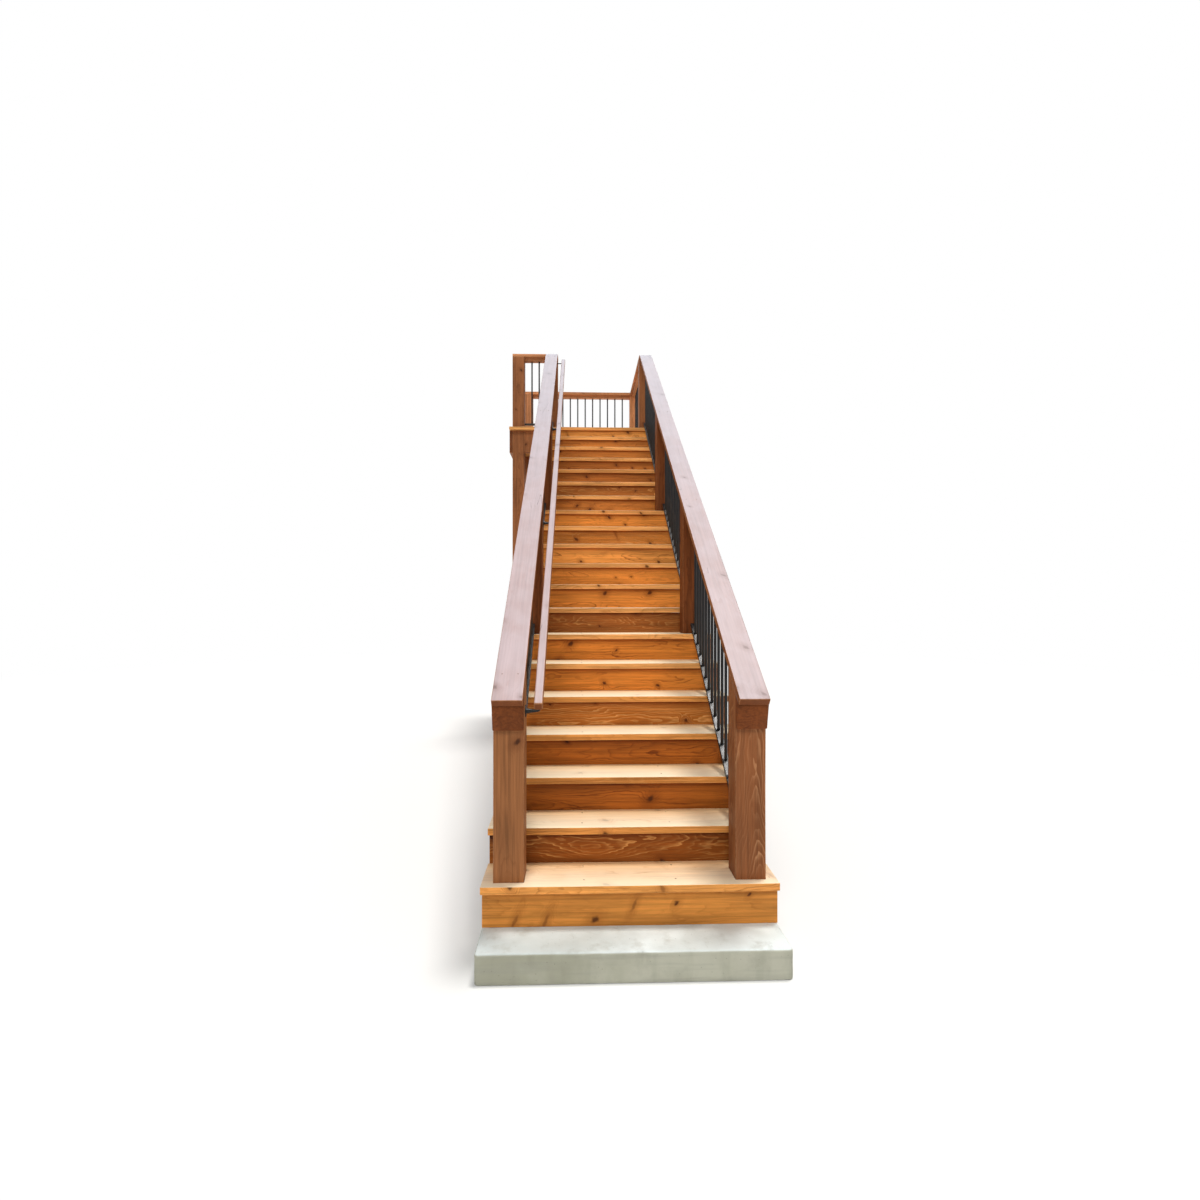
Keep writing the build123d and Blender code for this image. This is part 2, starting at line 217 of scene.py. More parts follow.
class Pile:
    """Gathers surfaces that become one mesh.

    Each point also has its place in the log and its board's own number, and says whether it is
    on a rounded edge, which the finish paints lighter with wear and a painted highlight, on end
    grain or on one of the board's narrow faces.
    """

    def __init__(self):
        self.points, self.faces, self.marks = [], [], {}
        self.count = 0

    def add(self, points, faces, grain, seed=0.5, arris=0.0, ends=0.0, edges=0.0):
        self.points.append(points)
        self.faces += [[index + self.count for index in face] for face in faces]
        self.count += len(points)
        marks = {"grain_place": grain, "board_seed": seed}
        marks |= {"arris": arris, "end_grain": ends, "edge_face": edges}
        for title, values in marks.items():
            shape = np.shape(values) or len(points)
            self.marks.setdefault(title, []).append(np.broadcast_to(values, shape))

    def mesh(self, name):
        data = bpy.data.meshes.new(name)
        data.from_pydata(np.concatenate(self.points).tolist(), [], self.faces)
        for title, parts in self.marks.items():
            write_attribute(data, title, np.concatenate(parts))
        data.shade_smooth()
        data.set_sharp_from_angle(angle=SHARP_ANGLE)
        data.validate()
        return data


def timber(
    pile, start, along, across, length, width, thick,
    edge=EASED_EDGE, low_cut=0.0, high_cut=0.0, spacing=0.12, wander=0.0006, pith=None,
):
    """One sawn board from the middle of its low end.

    The section is a rounded rectangle carried along a line. Near each end it shrinks on a
    quarter circle, so the end's edges are eased too. low_cut and high_cut lean the end faces:
    a point moves along the board by that much for each metre up its thickness. A slow wave,
    different in each board, bends the line and cups the section by about a millimetre.
    """
    up = np.cross(along, across)
    section, normals = rounded_section(width, thick, edge)
    turn = np.linspace(0, math.radians(65), 4)
    insets = edge * (1 - np.sin(turn)) * 0.9
    depths = edge * (1 - np.cos(turn))
    inner = np.linspace(edge * 1.5, length - edge * 1.5, max(3, int(length / spacing)))
    stations = np.concatenate([depths, inner, length - depths[::-1]])
    shrink = np.concatenate([insets, np.zeros(len(inner)), insets[::-1]])
    share = stations / length
    flat = section[None] - normals[None] * shrink[:, None, None]
    phase = dice.uniform(0, 2 * math.pi, 4)
    bow = wander * np.sin(share * math.pi * dice.uniform(1.0, 2.5) + phase[0])
    crook = wander * np.sin(share * math.pi * dice.uniform(1.0, 2.5) + phase[1])
    cup = wander * dice.uniform(-1, 1) * ((flat[..., 0] / (width / 2)) ** 2 - 0.4)
    side = flat[..., 0] + crook[:, None]
    rise = flat[..., 1] + bow[:, None] + cup
    lean = (low_cut * (1 - share) + high_cut * share)[:, None] * flat[..., 1]
    reach = stations[:, None] + lean
    points = start + reach[..., None] * along + side[..., None] * across + rise[..., None] * up

    if pith is None:
        pith = (dice.uniform(-0.3, 0.3) * width, -thick / 2 - dice.uniform(0.015, 0.06))
    offset = np.array([dice.uniform(0, 40), -pith[0], -pith[1]])
    flip = dice.choice([-1.0, 1.0])
    grain = np.stack([reach, flat[..., 0] * flip, flat[..., 1]], -1).reshape(-1, 3) + offset

    shape = flat.shape[:2]
    on_corner = np.abs(normals).min(1) > 0.05
    first_or_last = np.isin(np.arange(len(stations)), [0, len(stations) - 1])[:, None]
    # Points on the rounded edges, which the finish paints lighter: partly wear, partly a painted highlight
    worn_and_lit = (on_corner | (shrink > 0)[:, None]) & ~first_or_last
    narrow = np.abs(normals[:, 0]) > 0.7
    arris, ends, edges = (
        np.broadcast_to(mask, shape).reshape(-1) for mask in (worn_and_lit, first_or_last, narrow)
    )
    pile.add(points.reshape(-1, 3), loft_faces(*shape), grain, dice.uniform(), arris, ends, edges)


def squared(pile, low, high, axis=None, **finish):
    """A timber that fills a box, its grain along the longest side or the named one."""
    low, high = np.array(low, float), np.array(high, float)
    size = high - low
    axis = int(np.argmax(size)) if axis is None else axis
    wide, thin = sorted((other for other in range(3) if other != axis), key=lambda other: -size[other])
    start = (low + high) / 2
    start[axis] = low[axis]
    directions = np.eye(3)
    timber(pile, start, directions[axis], directions[wide], size[axis], size[wide], size[thin], **finish)


def lathe(pile, centre, axis, profile, sides=24):
    """A turned shape: (reach, radius) pairs of a profile carried round an axis, ends closed."""
    axis = np.array(axis, float)
    across = np.cross(axis, X_AXIS if abs(axis[0]) < 0.9 else Y_AXIS)
    across /= np.linalg.norm(across)
    up = np.cross(axis, across)
    angles = np.linspace(0, 2 * math.pi, sides, endpoint=False)
    circle = np.cos(angles)[:, None] * across + np.sin(angles)[:, None] * up
    reach, radius = np.array(profile).T[..., None, None]
    points = (np.array(centre) + reach * axis + radius * circle).reshape(-1, 3)
    pile.add(points, loft_faces(len(profile), sides), points)


def bar(pile, start, end, radius):
    """A round bar: a circle carried along a straight line, with eased ends."""
    start, end = np.array(start, float), np.array(end, float)
    length = np.linalg.norm(end - start)
    ease = min(radius * 0.2, length * 0.1)
    profile = [(0, radius - ease), (ease, radius), (length - ease, radius), (length, radius - ease)]
    lathe(pile, start, (end - start) / length, profile, sides=20)


def place(name, shape, material, slot, *nodes):
    """Makes the object from a pile or a mesh, gives it the material, lets it ride, and hides the CAD nodes
    it stands for.
    """
    data = shape.mesh(name) if isinstance(shape, Pile) else shape
    piece = bpy.data.objects.new(name, data)
    bpy.context.scene.collection.objects.link(piece)
    piece.data.materials.append(material)
    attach(piece, "root")
    if nodes:
        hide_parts(*nodes)


def cut_boxes(data, boxes):
    """The mesh with square holes cut through it.

    The grain's place is a plain linear function of a point's place, fitted to the uncut board
    and given to every point of the cut one, so the cut faces keep the board's own grain.
    """
    grain = read_attribute(data, "grain_place", "vector", 3)
    seed = read_attribute(data, "board_seed", "value", 1)
    points = read_points(data)
    to_grain = np.linalg.lstsq(np.c_[points, np.ones(len(points))], grain, rcond=None)[0]
    body = bpy.data.objects.new("being_cut", data)
    bpy.context.scene.collection.objects.link(body)
    unit = np.array([[x, y, z] for x in (0, 1) for y in (0, 1) for z in (0, 1)], float)
    quads = [(0, 1, 3, 2), (4, 6, 7, 5), (0, 4, 5, 1), (2, 3, 7, 6), (0, 2, 6, 4), (1, 5, 7, 3)]
    cutters = []
    for low, high in boxes:
        cutter_data = bpy.data.meshes.new("cutter")
        cutter_data.from_pydata((low + unit * (high - low)).tolist(), [], quads)
        cutter = bpy.data.objects.new("cutter", cutter_data)
        bpy.context.scene.collection.objects.link(cutter)
        modifier = body.modifiers.new("hole", "BOOLEAN")
        modifier.operation = "DIFFERENCE"
        modifier.object = cutter
        modifier.solver = "EXACT"
        cutters.append(cutter)
    bpy.context.view_layer.update()
    cut = bpy.data.meshes.new_from_object(body.evaluated_get(bpy.context.evaluated_depsgraph_get()))
    for helper in (body, *cutters):
        bpy.data.objects.remove(helper)
    points = read_points(cut)
    write_attribute(cut, "grain_place", np.c_[points, np.ones(len(points))] @ to_grain)
    write_attribute(cut, "board_seed", np.full(len(points), seed[0, 0]))
    cut.set_sharp_from_angle(angle=SHARP_ANGLE)
    return cut


# Shader nodes in short


class Signal:
    """One output in a shader tree. Sums, products and comparisons of it become Math nodes."""

    def __init__(self, graph, socket):
        self.graph, self.socket = graph, socket

    def __add__(self, other):
        return self.graph.math("ADD", self, other)

    def __sub__(self, other):
        return self.graph.math("SUBTRACT", self, other)

    def __rsub__(self, other):
        return self.graph.math("SUBTRACT", other, self)

    def __mul__(self, other):
        return self.graph.math("MULTIPLY", self, other)

    def __truediv__(self, other):
        return self.graph.math("DIVIDE", self, other)

    def __lt__(self, other):
        return self.graph.math("LESS_THAN", self, other)

    def __gt__(self, other):
        return self.graph.math("GREATER_THAN", self, other)


class Graph:
    """Short calls for adding and joining the nodes of one shader tree.

    An input is named or numbered, and takes a signal, a number, a vector or a colour of three
    numbers.
    """

    def __init__(self, tree):
        self.tree = tree

    def feed(self, node, sources):
        for key, source in sources.items():
            socket = node.inputs[key]
            if isinstance(source, Signal):
                self.tree.links.new(source.socket, socket)
            elif socket.type == "RGBA":
                socket.default_value = (*source, 1)
            else:
                socket.default_value = source

    def node(self, kind, sources=None, **settings):
        made = self.tree.nodes.new(kind)
        for key, value in settings.items():
            setattr(made, key, value)
        self.feed(made, sources or {})
        return made

    def signal(self, kind, output, sources=None, **settings):
        return Signal(self, self.node(kind, sources, **settings).outputs[output])

    def math(self, operation, *sources):
        return self.signal("ShaderNodeMath", 0, dict(enumerate(sources)), operation=operation)

    def vector(self, operation, *sources):
        return self.signal("ShaderNodeVectorMath", 0, dict(enumerate(sources)), operation=operation)

    def scaled(self, color, factor):
        return self.signal("ShaderNodeVectorMath", 0, {0: color, "Scale": factor}, operation="SCALE")

    def join(self, *parts):
        return self.signal("ShaderNodeCombineXYZ", 0, dict(enumerate(parts)))

    def split(self, vector):
        return [Signal(self, part) for part in self.node("ShaderNodeSeparateXYZ", {0: vector}).outputs]

    def object_place(self):
        return self.signal("ShaderNodeTexCoord", "Object")

    def upward(self):
        """How far a face looks up: 1 on a level top, 0 on a wall."""
        return self.split(self.signal("ShaderNodeNewGeometry", "Normal"))[2]

    def attribute(self, title, output="Fac"):
        return self.signal("ShaderNodeAttribute", output, attribute_name=title)

    def chance(self, number):
        """A random value from 0 to 1 that belongs to the number."""
        return self.signal("ShaderNodeTexWhiteNoise", "Value", {"W": number}, noise_dimensions="1D")

    def noise(self, place_at, scale, detail=2.0, roughness=0.5, output="Fac"):
        sources = {"Vector": place_at, "Scale": scale, "Detail": detail, "Roughness": roughness}
        return self.signal("ShaderNodeTexNoise", output, sources)

    def grain_noise(self, place_at, along, across, detail):
        """Noise with one pitch along the grain and another across it, in cells per metre."""
        drawn = self.vector("MULTIPLY", place_at, (along, across, across))
        return self.noise(drawn, 1.0, detail, 0.6)

    def cells(self, place_at, scale, randomness=1.0, **settings):
        """Scattered cells: the distance to the middle of each, and its three random values."""
        sources = {"Vector": place_at, "Scale": scale, "Randomness": randomness}
        found = self.node("ShaderNodeTexVoronoi", sources, feature="F1", **settings)
        picks = self.node("ShaderNodeSeparateColor", {0: Signal(self, found.outputs["Color"])})
        return Signal(self, found.outputs["Distance"]), [Signal(self, pick) for pick in picks.outputs]

    def spread(self, value, low, high, new_low=0.0, new_high=1.0, interpolation_type="SMOOTHSTEP"):
        """The value's way from low to high, eased at both ends, as a number in the new range."""
        sources = dict(enumerate((value, low, high, new_low, new_high)))
        return self.signal("ShaderNodeMapRange", 0, sources, interpolation_type=interpolation_type)

    def swing(self, value, most):
        """A noise as a change of tone that is as often up as down."""
        return self.spread(value, 0.3, 0.7, -most, most)

    def mix(self, amount, first, second):
        sources = {0: amount, 6: first, 7: second}
        return self.signal("ShaderNodeMix", 2, sources, data_type="RGBA", blend_type="MIX")

    def ramp(self, value, stops):
        made = self.node("ShaderNodeValToRGB", {0: value})
        elements = made.color_ramp.elements
        while len(elements) < len(stops):
            elements.new(0.5)
        for element, (position, level) in zip(elements, stops):
            element.position = position
            element.color = (level, level, level, 1)
        return Signal(self, made.outputs[0])

    def bump(self, height, depth):
        return self.signal("ShaderNodeBump", 0, {"Height": height, "Distance": depth})


def new_group(title, inputs, outputs):
    """An empty shader group: its tree, its Graph, its inputs by name and its end node.

    An input's first value says what it is: a colour of three numbers, a number, or None for a
    vector.
    """
    tree = bpy.data.node_groups.new(title, "ShaderNodeTree")
    kinds = {tuple: "NodeSocketColor", float: "NodeSocketFloat", type(None): "NodeSocketVector"}
    for name, value in inputs.items():
        made = tree.interface.new_socket(name, in_out="INPUT", socket_type=kinds[type(value)])
        if value is not None:
            made.default_value = (*value, 1) if isinstance(value, tuple) else value
    for name, kind in outputs.items():
        tree.interface.new_socket(name, in_out="OUTPUT", socket_type=kind)
    graph = Graph(tree)
    start = graph.node("NodeGroupInput")
    given = {name: Signal(graph, start.outputs[name]) for name in inputs}
    return tree, graph, given, graph.node("NodeGroupOutput")


def new_material(title):
    """A material with its Graph and its Principled shader."""
    material = bpy.data.materials.new(title)
    material.use_nodes = True
    material.node_tree.nodes.clear()
    graph = Graph(material.node_tree)
    shader = graph.node("ShaderNodeBsdfPrincipled")
    graph.node("ShaderNodeOutputMaterial", {"Surface": Signal(graph, shader.outputs[0])})
    return material, graph, shader


# Sawn wood


def knot_cells(graph, place_at, stretch, pitch, share, least, most):
    """Masks of scattered knots: the dark core and the soft halo that bends the rings.

    A cell has a knot if its random value is under the share. Its radius lies between the least
    and the most, in metres, and pitch is the number of cells per metre.
    """
    drawn = graph.vector("MULTIPLY", place_at, stretch)
    distance, picks = graph.cells(drawn, pitch, randomness=0.9, voronoi_dimensions="2D")
    present = picks[0] < share
    radius = graph.spread(picks[1], 0.0, 1.0, least, most, "LINEAR")
    ratio = distance / pitch / radius
    core = graph.spread(ratio, 0.4, 1.4, 1.0, 0.0) * present
    halo = graph.spread(ratio, 0.5, 4.5, 1.0, 0.0) * present
    return core, halo


def sawn_wood_group():
    """Wood as a solid: rings round a pith that wanders, knots across them, and fine fibres.

    The place is (along the board, across it, through it), measured from the pith. The ring
    number is the distance to the pith, plus a taper and two noises, divided by the ring's width.
    Some boards show their rings as pale lines instead of dark ones. The fading input turns the
    wood toward its own pair of colours, which stand partly for real fading and partly for painted
    light on a top lit from above and glossed by the sky, and keeps the rings and knots faintly visible.
    """
    tree, graph, given, end = new_group(
        "sawn wood",
        {
            "Place": None, "Seed": 0.0, "End": 0.0, "Edge": 0.0, "Weather And Top Light": 0.0,
            "Early": (0.5, 0.2, 0.05), "Late": (0.2, 0.05, 0.01), "Pale": (0.7, 0.4, 0.15),
            "Knot": (0.05, 0.015, 0.005), "Faded": (0.8, 0.6, 0.4), "Faded Line": (0.6, 0.35, 0.16),
            "Ring Width": 0.008, "Ring Strength": 0.8, "Taper": 0.012, "Pale Share": 0.3,
            "Knot Share": 0.3, "Spike Share": 0.1, "Check Share": 0.0, "Board Change": 0.25, "Streaks": 1.0,
        },
        {"Color": "NodeSocketColor", "Height": "NodeSocketFloat", "Fibre": "NodeSocketFloat"},
    )
    seed, weather_and_top_light, knot_tone = given["Seed"], given["Weather And Top Light"], given["Knot"]
    here = graph.vector("ADD", given["Place"], graph.join(seed * 37.0, seed * 91.0, seed * 53.0))
    along, across, through = graph.split(given["Place"])

    # Knots: sparse cells in the plane of each face, with others on the board's narrow faces
    sideways = across + (through - across) * (given["Edge"] > 0.5)
    face = graph.join(along + sideways * 0.4 + seed * 71.0, sideways + seed * 29.0)
    jitter = graph.vector("SUBTRACT", graph.noise(face, 38.0, 1.0, output="Color"), (0.5, 0.5, 0.5))
    bent = graph.vector("ADD", face, graph.vector("MULTIPLY", jitter, (0.020, 0.020, 0.0)))
    core, halo = knot_cells(
        graph, bent, (1.0, 1.0, 0.0), pitch=5.6, share=given["Knot Share"], least=0.006, most=0.019
    )
    spike, spike_halo = knot_cells(
        graph, bent, (1.0, 0.28, 0.0), pitch=6.2, share=given["Spike Share"], least=0.006, most=0.010
    )
    dark = graph.math("MAXIMUM", core, spike * 0.5)
    round_knot = graph.math("MAXIMUM", halo, spike_halo)

    # Rings round the pith, some years stronger than others
    from_pith = graph.math("SQRT", across * across + through * through)
    slow = graph.grain_noise(here, 1.5, 5.0, 1.0) * 0.15
    quick = graph.grain_noise(here, 6.0, 22.0, 2.0) * 0.030
    reached = from_pith + slow + quick + along * given["Taper"] + round_knot * 0.034
    rings = reached / given["Ring Width"]
    late = graph.ramp(
        graph.math("FRACT", rings),
        [(0.0, 0.0), (0.42, 0.06), (0.70, 0.42), (0.84, 1.0), (0.94, 0.85), (1.0, 0.0)],
    )
    year = graph.spread(graph.chance(graph.math("FLOOR", rings)), 0.0, 1.0, 0.25, 1.0, "LINEAR")
    patch = graph.spread(graph.grain_noise(here, 2.2, 10.0, 2.0), 0.38, 0.58, 0.2, 1.0)
    ring = late * year * patch * given["Ring Strength"]
    pale_board = graph.chance(seed * 173.0) < given["Pale Share"]
    line_tone = graph.mix(pale_board, given["Late"], given["Pale"])
    ground = graph.mix(pale_board * 0.5, given["Early"], given["Late"])
    ringed = graph.mix(ring, ground, line_tone)

    # Fibres, and slow changes of tone along a board and from board to board
    fibre = graph.grain_noise(here, 6.0, 300.0, 3.0)
    lines = graph.swing(graph.grain_noise(here, 2.2, 95.0, 2.0), 0.24)
    streaks = graph.swing(graph.grain_noise(here, 1.1, 30.0, 3.0), 0.22)
    clouds = graph.swing(graph.grain_noise(here, 1.6, 6.0, 2.0), 0.20)
    level = (graph.swing(fibre, 0.12) + lines + streaks + clouds) * given["Streaks"]
    board_level = (graph.chance(seed * 311.0) - 0.5) * given["Board Change"]
    sound = graph.scaled(ringed, level + board_level + 1.0)

    # The fading keeps a third of the tone changes and the rings as faint lines; on tops it is partly real
    # fading and partly painted light
    faded_and_lit = graph.mix(ring * 0.75, given["Faded"], given["Faded Line"])
    shown = graph.mix(weather_and_top_light, sound, graph.scaled(faded_and_lit, level * 0.32 + 1.0))
    kept = 1.0 - weather_and_top_light * 0.55
    shown = graph.mix(round_knot * 0.5 * kept, shown, given["Late"])
    shown = graph.mix(dark * 0.85 * kept, shown, knot_tone)

    # Drying checks: thin dark lines along the grain, only in a few places
    middle = graph.math("ABSOLUTE", graph.grain_noise(here, 1.1, 16.0, 1.0) - 0.5)
    dry = graph.grain_noise(here, 1.3, 5.0, 1.0) > 0.78 - given["Check Share"] * 0.4
    check = graph.spread(middle, 0.0, 0.006, 1.0, 0.0) * dry
    shown = graph.mix(check * 0.8, shown, knot_tone)

    # End grain drinks the finish and turns dark
    soaked = graph.scaled(given["Late"], level * 0.25 + 1.25)
    graph.feed(end, {
        "Color": graph.mix(given["End"] * 0.8, shown, soaked),
        "Height": ring * 0.30 + fibre * 0.5 - dark * 0.25 - check * 1.5,
        "Fibre": fibre,
    })
    return tree


SAWN_WOOD = sawn_wood_group()


def timber_material(title, recipe, sloped=False, sheltered=False, trodden_and_shaded=False):
    """Finished timber: the sawn wood group, its edges lighter from wear and a painted highlight, its
    top fading, partly for real and partly as painted light from above, and glossier.

    The recipe has values for the group's inputs by name, and a few of the material's own: the lit
    and rubbed edge colour, the painted sky tone, the fade, the painted reflection's amount, the low
    and high gloss, the top coat and the bump. Seen at a low angle, a top is mixed toward the sky's
    tone, a painted reflection. A sloped piece without grain attributes takes its grain from Object
    coordinates turned to the slope of the flight. A riser with painted nosing shade is darker close
    under the nosing above it, standing for the shadow there. A tread board is palest along its front
    edge, partly from wear and partly as painted light, and is painted darker toward its back,
    standing for the shade under the riser and nosing above.
    """
    material, graph, shader = new_material(title)
    wood = graph.node("ShaderNodeGroup", node_tree=SAWN_WOOD)
    graph.feed(wood, {name: value for name, value in recipe.items() if name in wood.inputs})
    if sloped:
        turned = {"Vector": graph.object_place(), "Rotation": (-ANGLE, 0, 0)}
        side, along, out = graph.split(graph.signal("ShaderNodeMapping", 0, turned))
        place_at = graph.join(along, out + 0.12, graph.math("ABSOLUTE", side) + 0.05)
        graph.feed(wood, {"Place": place_at, "Seed": graph.math("SIGN", side) * 0.31})
        worn_lit_edge = 0.0
    else:
        place_at = graph.attribute("grain_place", "Vector")
        graph.feed(wood, {
            "Place": place_at, "Seed": graph.attribute("board_seed"),
            "End": graph.attribute("end_grain"), "Edge": graph.attribute("edge_face"),
        })
        worn_lit_edge = graph.attribute("arris")
    # Tops fade: partly real fading, partly painted light from above and from the sky
    top = graph.spread(graph.upward(), 0.45, 0.8)
    fade = recipe["Fade"]
    patches = graph.spread(graph.noise(place_at, 7.0, 3.0), 0.3, 0.7, fade - 0.15, fade)
    graph.feed(wood, {"Weather And Top Light": top * patches})
    color, height, fibre = (Signal(graph, wood.outputs[name]) for name in ("Color", "Height", "Fibre"))
    # Rounded edges painted lighter: partly wear, partly a painted highlight along the arris
    worn_and_lit = graph.spread(graph.noise(place_at, 60.0, 3.0), 0.35, 0.65, 0.2, 0.8) * worn_lit_edge
    color = graph.mix(worn_and_lit, color, graph.mix(0.5, color, recipe["Worn Edge"]))
    # Painted reflection: a top seen at a low angle is mixed toward the sky's tone
    low_angle = graph.signal("ShaderNodeLayerWeight", "Facing")
    painted_sheen = top * graph.spread(low_angle, 0.45, 0.85, 0.0, recipe["Sheen"])
    color = graph.mix(painted_sheen, color, recipe["Sky"])
    # Tread tops are palest at the front edge, partly from wear and partly as painted light, and painted
    # with shade toward the back, standing for the shadow of the riser and nosing above
    if trodden_and_shaded:
        side, depth, level = graph.split(graph.object_place())
        share = (depth - (level - FIRST_TOP) / SLOPE) / TREAD_DEPTH
        shaded_back = graph.vector("MULTIPLY", color, (0.84, 0.70, 0.52))
        color = graph.mix(top * graph.spread(share, 0.25, 1.0), color, shaded_back)
        color = graph.mix(top * graph.spread(share, 0.0, 0.35, 0.45, 0.0), color, (0.98, 0.88, 0.64))
    # Painted shade: a riser is darkened close under the nosing above, standing for the nosing's shadow
    if sheltered:
        level = graph.split(graph.object_place())[2]
        below = graph.math("SUBTRACT", FIRST_TOP - TREAD_THICK + 0.0005, level)
        share = graph.math("FRACT", below / RISE)
        shade = graph.spread(share, 0.0, 0.10, 0.5, 0.0) + graph.spread(share, 0.03, 0.45, 0.35, 0.0)
        color = graph.mix(shade, color, graph.vector("MULTIPLY", color, (0.25, 0.12, 0.05)))
    graph.feed(shader, {
        "Base Color": color,
        "Roughness": graph.spread(fibre, 0.3, 0.7, recipe["Gloss Low"], recipe["Gloss High"]),
        "Specular IOR Level": 0.12,
        "Coat Weight": top * recipe["Top Coat"],
        "Coat Roughness": 0.40,
        "Normal": graph.bump(height, recipe["Bump"]),
    })
    return material


CEDAR = {
    "Early": (0.55, 0.175, 0.024), "Late": (0.16, 0.034, 0.005), "Pale": (0.84, 0.42, 0.13),
    # The fading tones are partly real fading and partly painted light on the tops
    "Knot": (0.055, 0.014, 0.004), "Faded": (0.83, 0.63, 0.43), "Faded Line": (0.60, 0.34, 0.16),
    # Edge colour: partly wear, partly a painted highlight. Sky tone: a painted reflection on the tops
    "Worn Edge": (0.92, 0.55, 0.20), "Sky": (0.95, 0.93, 0.72),
    "Ring Width": 0.011, "Ring Strength": 1.0, "Pale Share": 0.35, "Knot Share": 0.40,
    "Spike Share": 0.10, "Check Share": 0.1, "Board Change": 0.15, "Streaks": 1.0,
    "Fade": 0.92, "Sheen": 0.4, "Gloss Low": 0.45, "Gloss High": 0.62, "Top Coat": 0.25, "Bump": 0.0006,
}
HONEY_CEDAR = timber_material("honey cedar", {
    **CEDAR, "Early": (0.62, 0.24, 0.046), "Late": (0.36, 0.115, 0.019), "Pale Share": 0.0,
    "Spike Share": 0.75, "Knot Share": 0.25, "Ring Strength": 0.6, "Streaks": 0.6,
})
# The tread tone is lighter than the risers': partly its own, partly painted sunlight on the nosing fronts
TREAD = {
    **CEDAR, "Early": (0.74, 0.31, 0.075), "Late": (0.42, 0.14, 0.028), "Pale Share": 0.15,
    "Spike Share": 0.03, "Knot Share": 0.22, "Board Change": 0.2, "Streaks": 0.8,
}
# A paler copy of the tread tone, painted as in sunlight, for the upper treads and the landing boards
SUNLIT_TREAD = {**TREAD, "Early": (0.95, 0.45, 0.14), "Late": (0.55, 0.21, 0.055)}
TREAD_CEDAR = timber_material("tread cedar", TREAD, trodden_and_shaded=True)
SUNLIT_TREAD_CEDAR = timber_material("tread cedar painted sunlit", SUNLIT_TREAD, trodden_and_shaded=True)
BOARD_CEDAR = timber_material("landing cedar", SUNLIT_TREAD)

STAIN = {
    "Early": (0.33, 0.122, 0.044), "Late": (0.135, 0.038, 0.011), "Pale": (0.50, 0.235, 0.105),
    # The fading tones are partly real fading and partly painted light on the tops
    "Knot": (0.045, 0.014, 0.006), "Faded": (0.475, 0.375, 0.390), "Faded Line": (0.375, 0.27, 0.275),
    # Edge colour: partly wear, partly a painted highlight. Sky tone: a painted reflection on the tops
    "Worn Edge": (0.50, 0.25, 0.12), "Sky": (0.50, 0.60, 0.73),
    "Ring Width": 0.013, "Ring Strength": 0.8, "Pale Share": 0.5, "Knot Share": 0.15,
    "Spike Share": 0.0, "Check Share": 0.3, "Board Change": 0.18, "Streaks": 0.6,
    "Fade": 0.96, "Sheen": 0.4, "Gloss Low": 0.45, "Gloss High": 0.62, "Top Coat": 0.5, "Bump": 0.0012,
}
STAINED = timber_material("brown stained timber", STAIN)
# Redder and lighter stain, painted as in sunlight, for the landing's far posts and level rails
SUNLIT_RED_STAINED = timber_material(
    "redder stain painted sunlit", {**STAIN, "Early": (0.66, 0.28, 0.120), "Late": (0.32, 0.11, 0.038)}
)
# Darker stain: the newel heads' own tone; on the lower and upper posts it is painted shade, standing for
# the shadow under the caps
DARK_STAIN_AND_SHADE = timber_material("darker stain and painted shade", {
    **STAIN, "Early": (0.180, 0.050, 0.012), "Late": (0.080, 0.018, 0.004), "Pale Share": 0.0,
})
FIGURED_STAINED = timber_material("stained timber with pale figure", {
    **STAIN, "Pale Share": 1.0, "Ring Strength": 1.0, "Ring Width": 0.011, "Taper": 0.07, "Knot Share": 0.0,
})
PLAIN_STAINED = timber_material("stained timber with faint figure", {
    **STAIN, "Early": (0.33, 0.130, 0.047), "Pale Share": 0.0, "Ring Strength": 0.3, "Taper": 0.05,
})
SLOPED_STAINED = timber_material("brown stained stringer", {**STAIN, "Fade": 0.4}, sloped=True)


# Metal and concrete


def black_metal_material():
    """Powder coat: near black, with a fine orange-peel skin and faint dust."""
    material, graph, shader = new_material("black powder coat")
    where = graph.object_place()
    dust = graph.noise(where, 9.0, 4.0)
    dusty = graph.spread(dust, 0.45, 0.8, 0.0, 0.35)
    graph.feed(shader, {
        "Base Color": graph.mix(dusty, (0.010, 0.010, 0.011), (0.06, 0.055, 0.05)),
        "Roughness": graph.spread(dust, 0.3, 0.7, 0.28, 0.42),
        "Specular IOR Level": 0.3,
        "Normal": graph.bump(graph.noise(where, 900.0), 0.0001),
    })
    return material


def screw_material():
    """Coated deck screw: warm dull bronze with rubbed spots."""
    material, graph, shader = new_material("bronze coated steel")
    rub = graph.noise(graph.object_place(), 300.0)
    graph.feed(shader, {
        "Base Color": graph.mix(rub, (0.10, 0.06, 0.035), (0.22, 0.15, 0.09)),
        "Metallic": 0.7,
        "Roughness": graph.spread(rub, 0.3, 0.7, 0.35, 0.6),
    })
    return material


def galvanised_material():
    """Zinc-coated steel: pale grey crystals with dull and bright patches."""
    material, graph, shader = new_material("galvanised steel")
    crystal = graph.cells(graph.object_place(), 220.0)[1]
    graph.feed(shader, {
        "Base Color": graph.mix(crystal[0], (0.34, 0.35, 0.36), (0.55, 0.56, 0.57)),
        "Metallic": 0.9,
        "Roughness": graph.spread(crystal[1], 0.0, 1.0, 0.35, 0.6),
    })
    return material


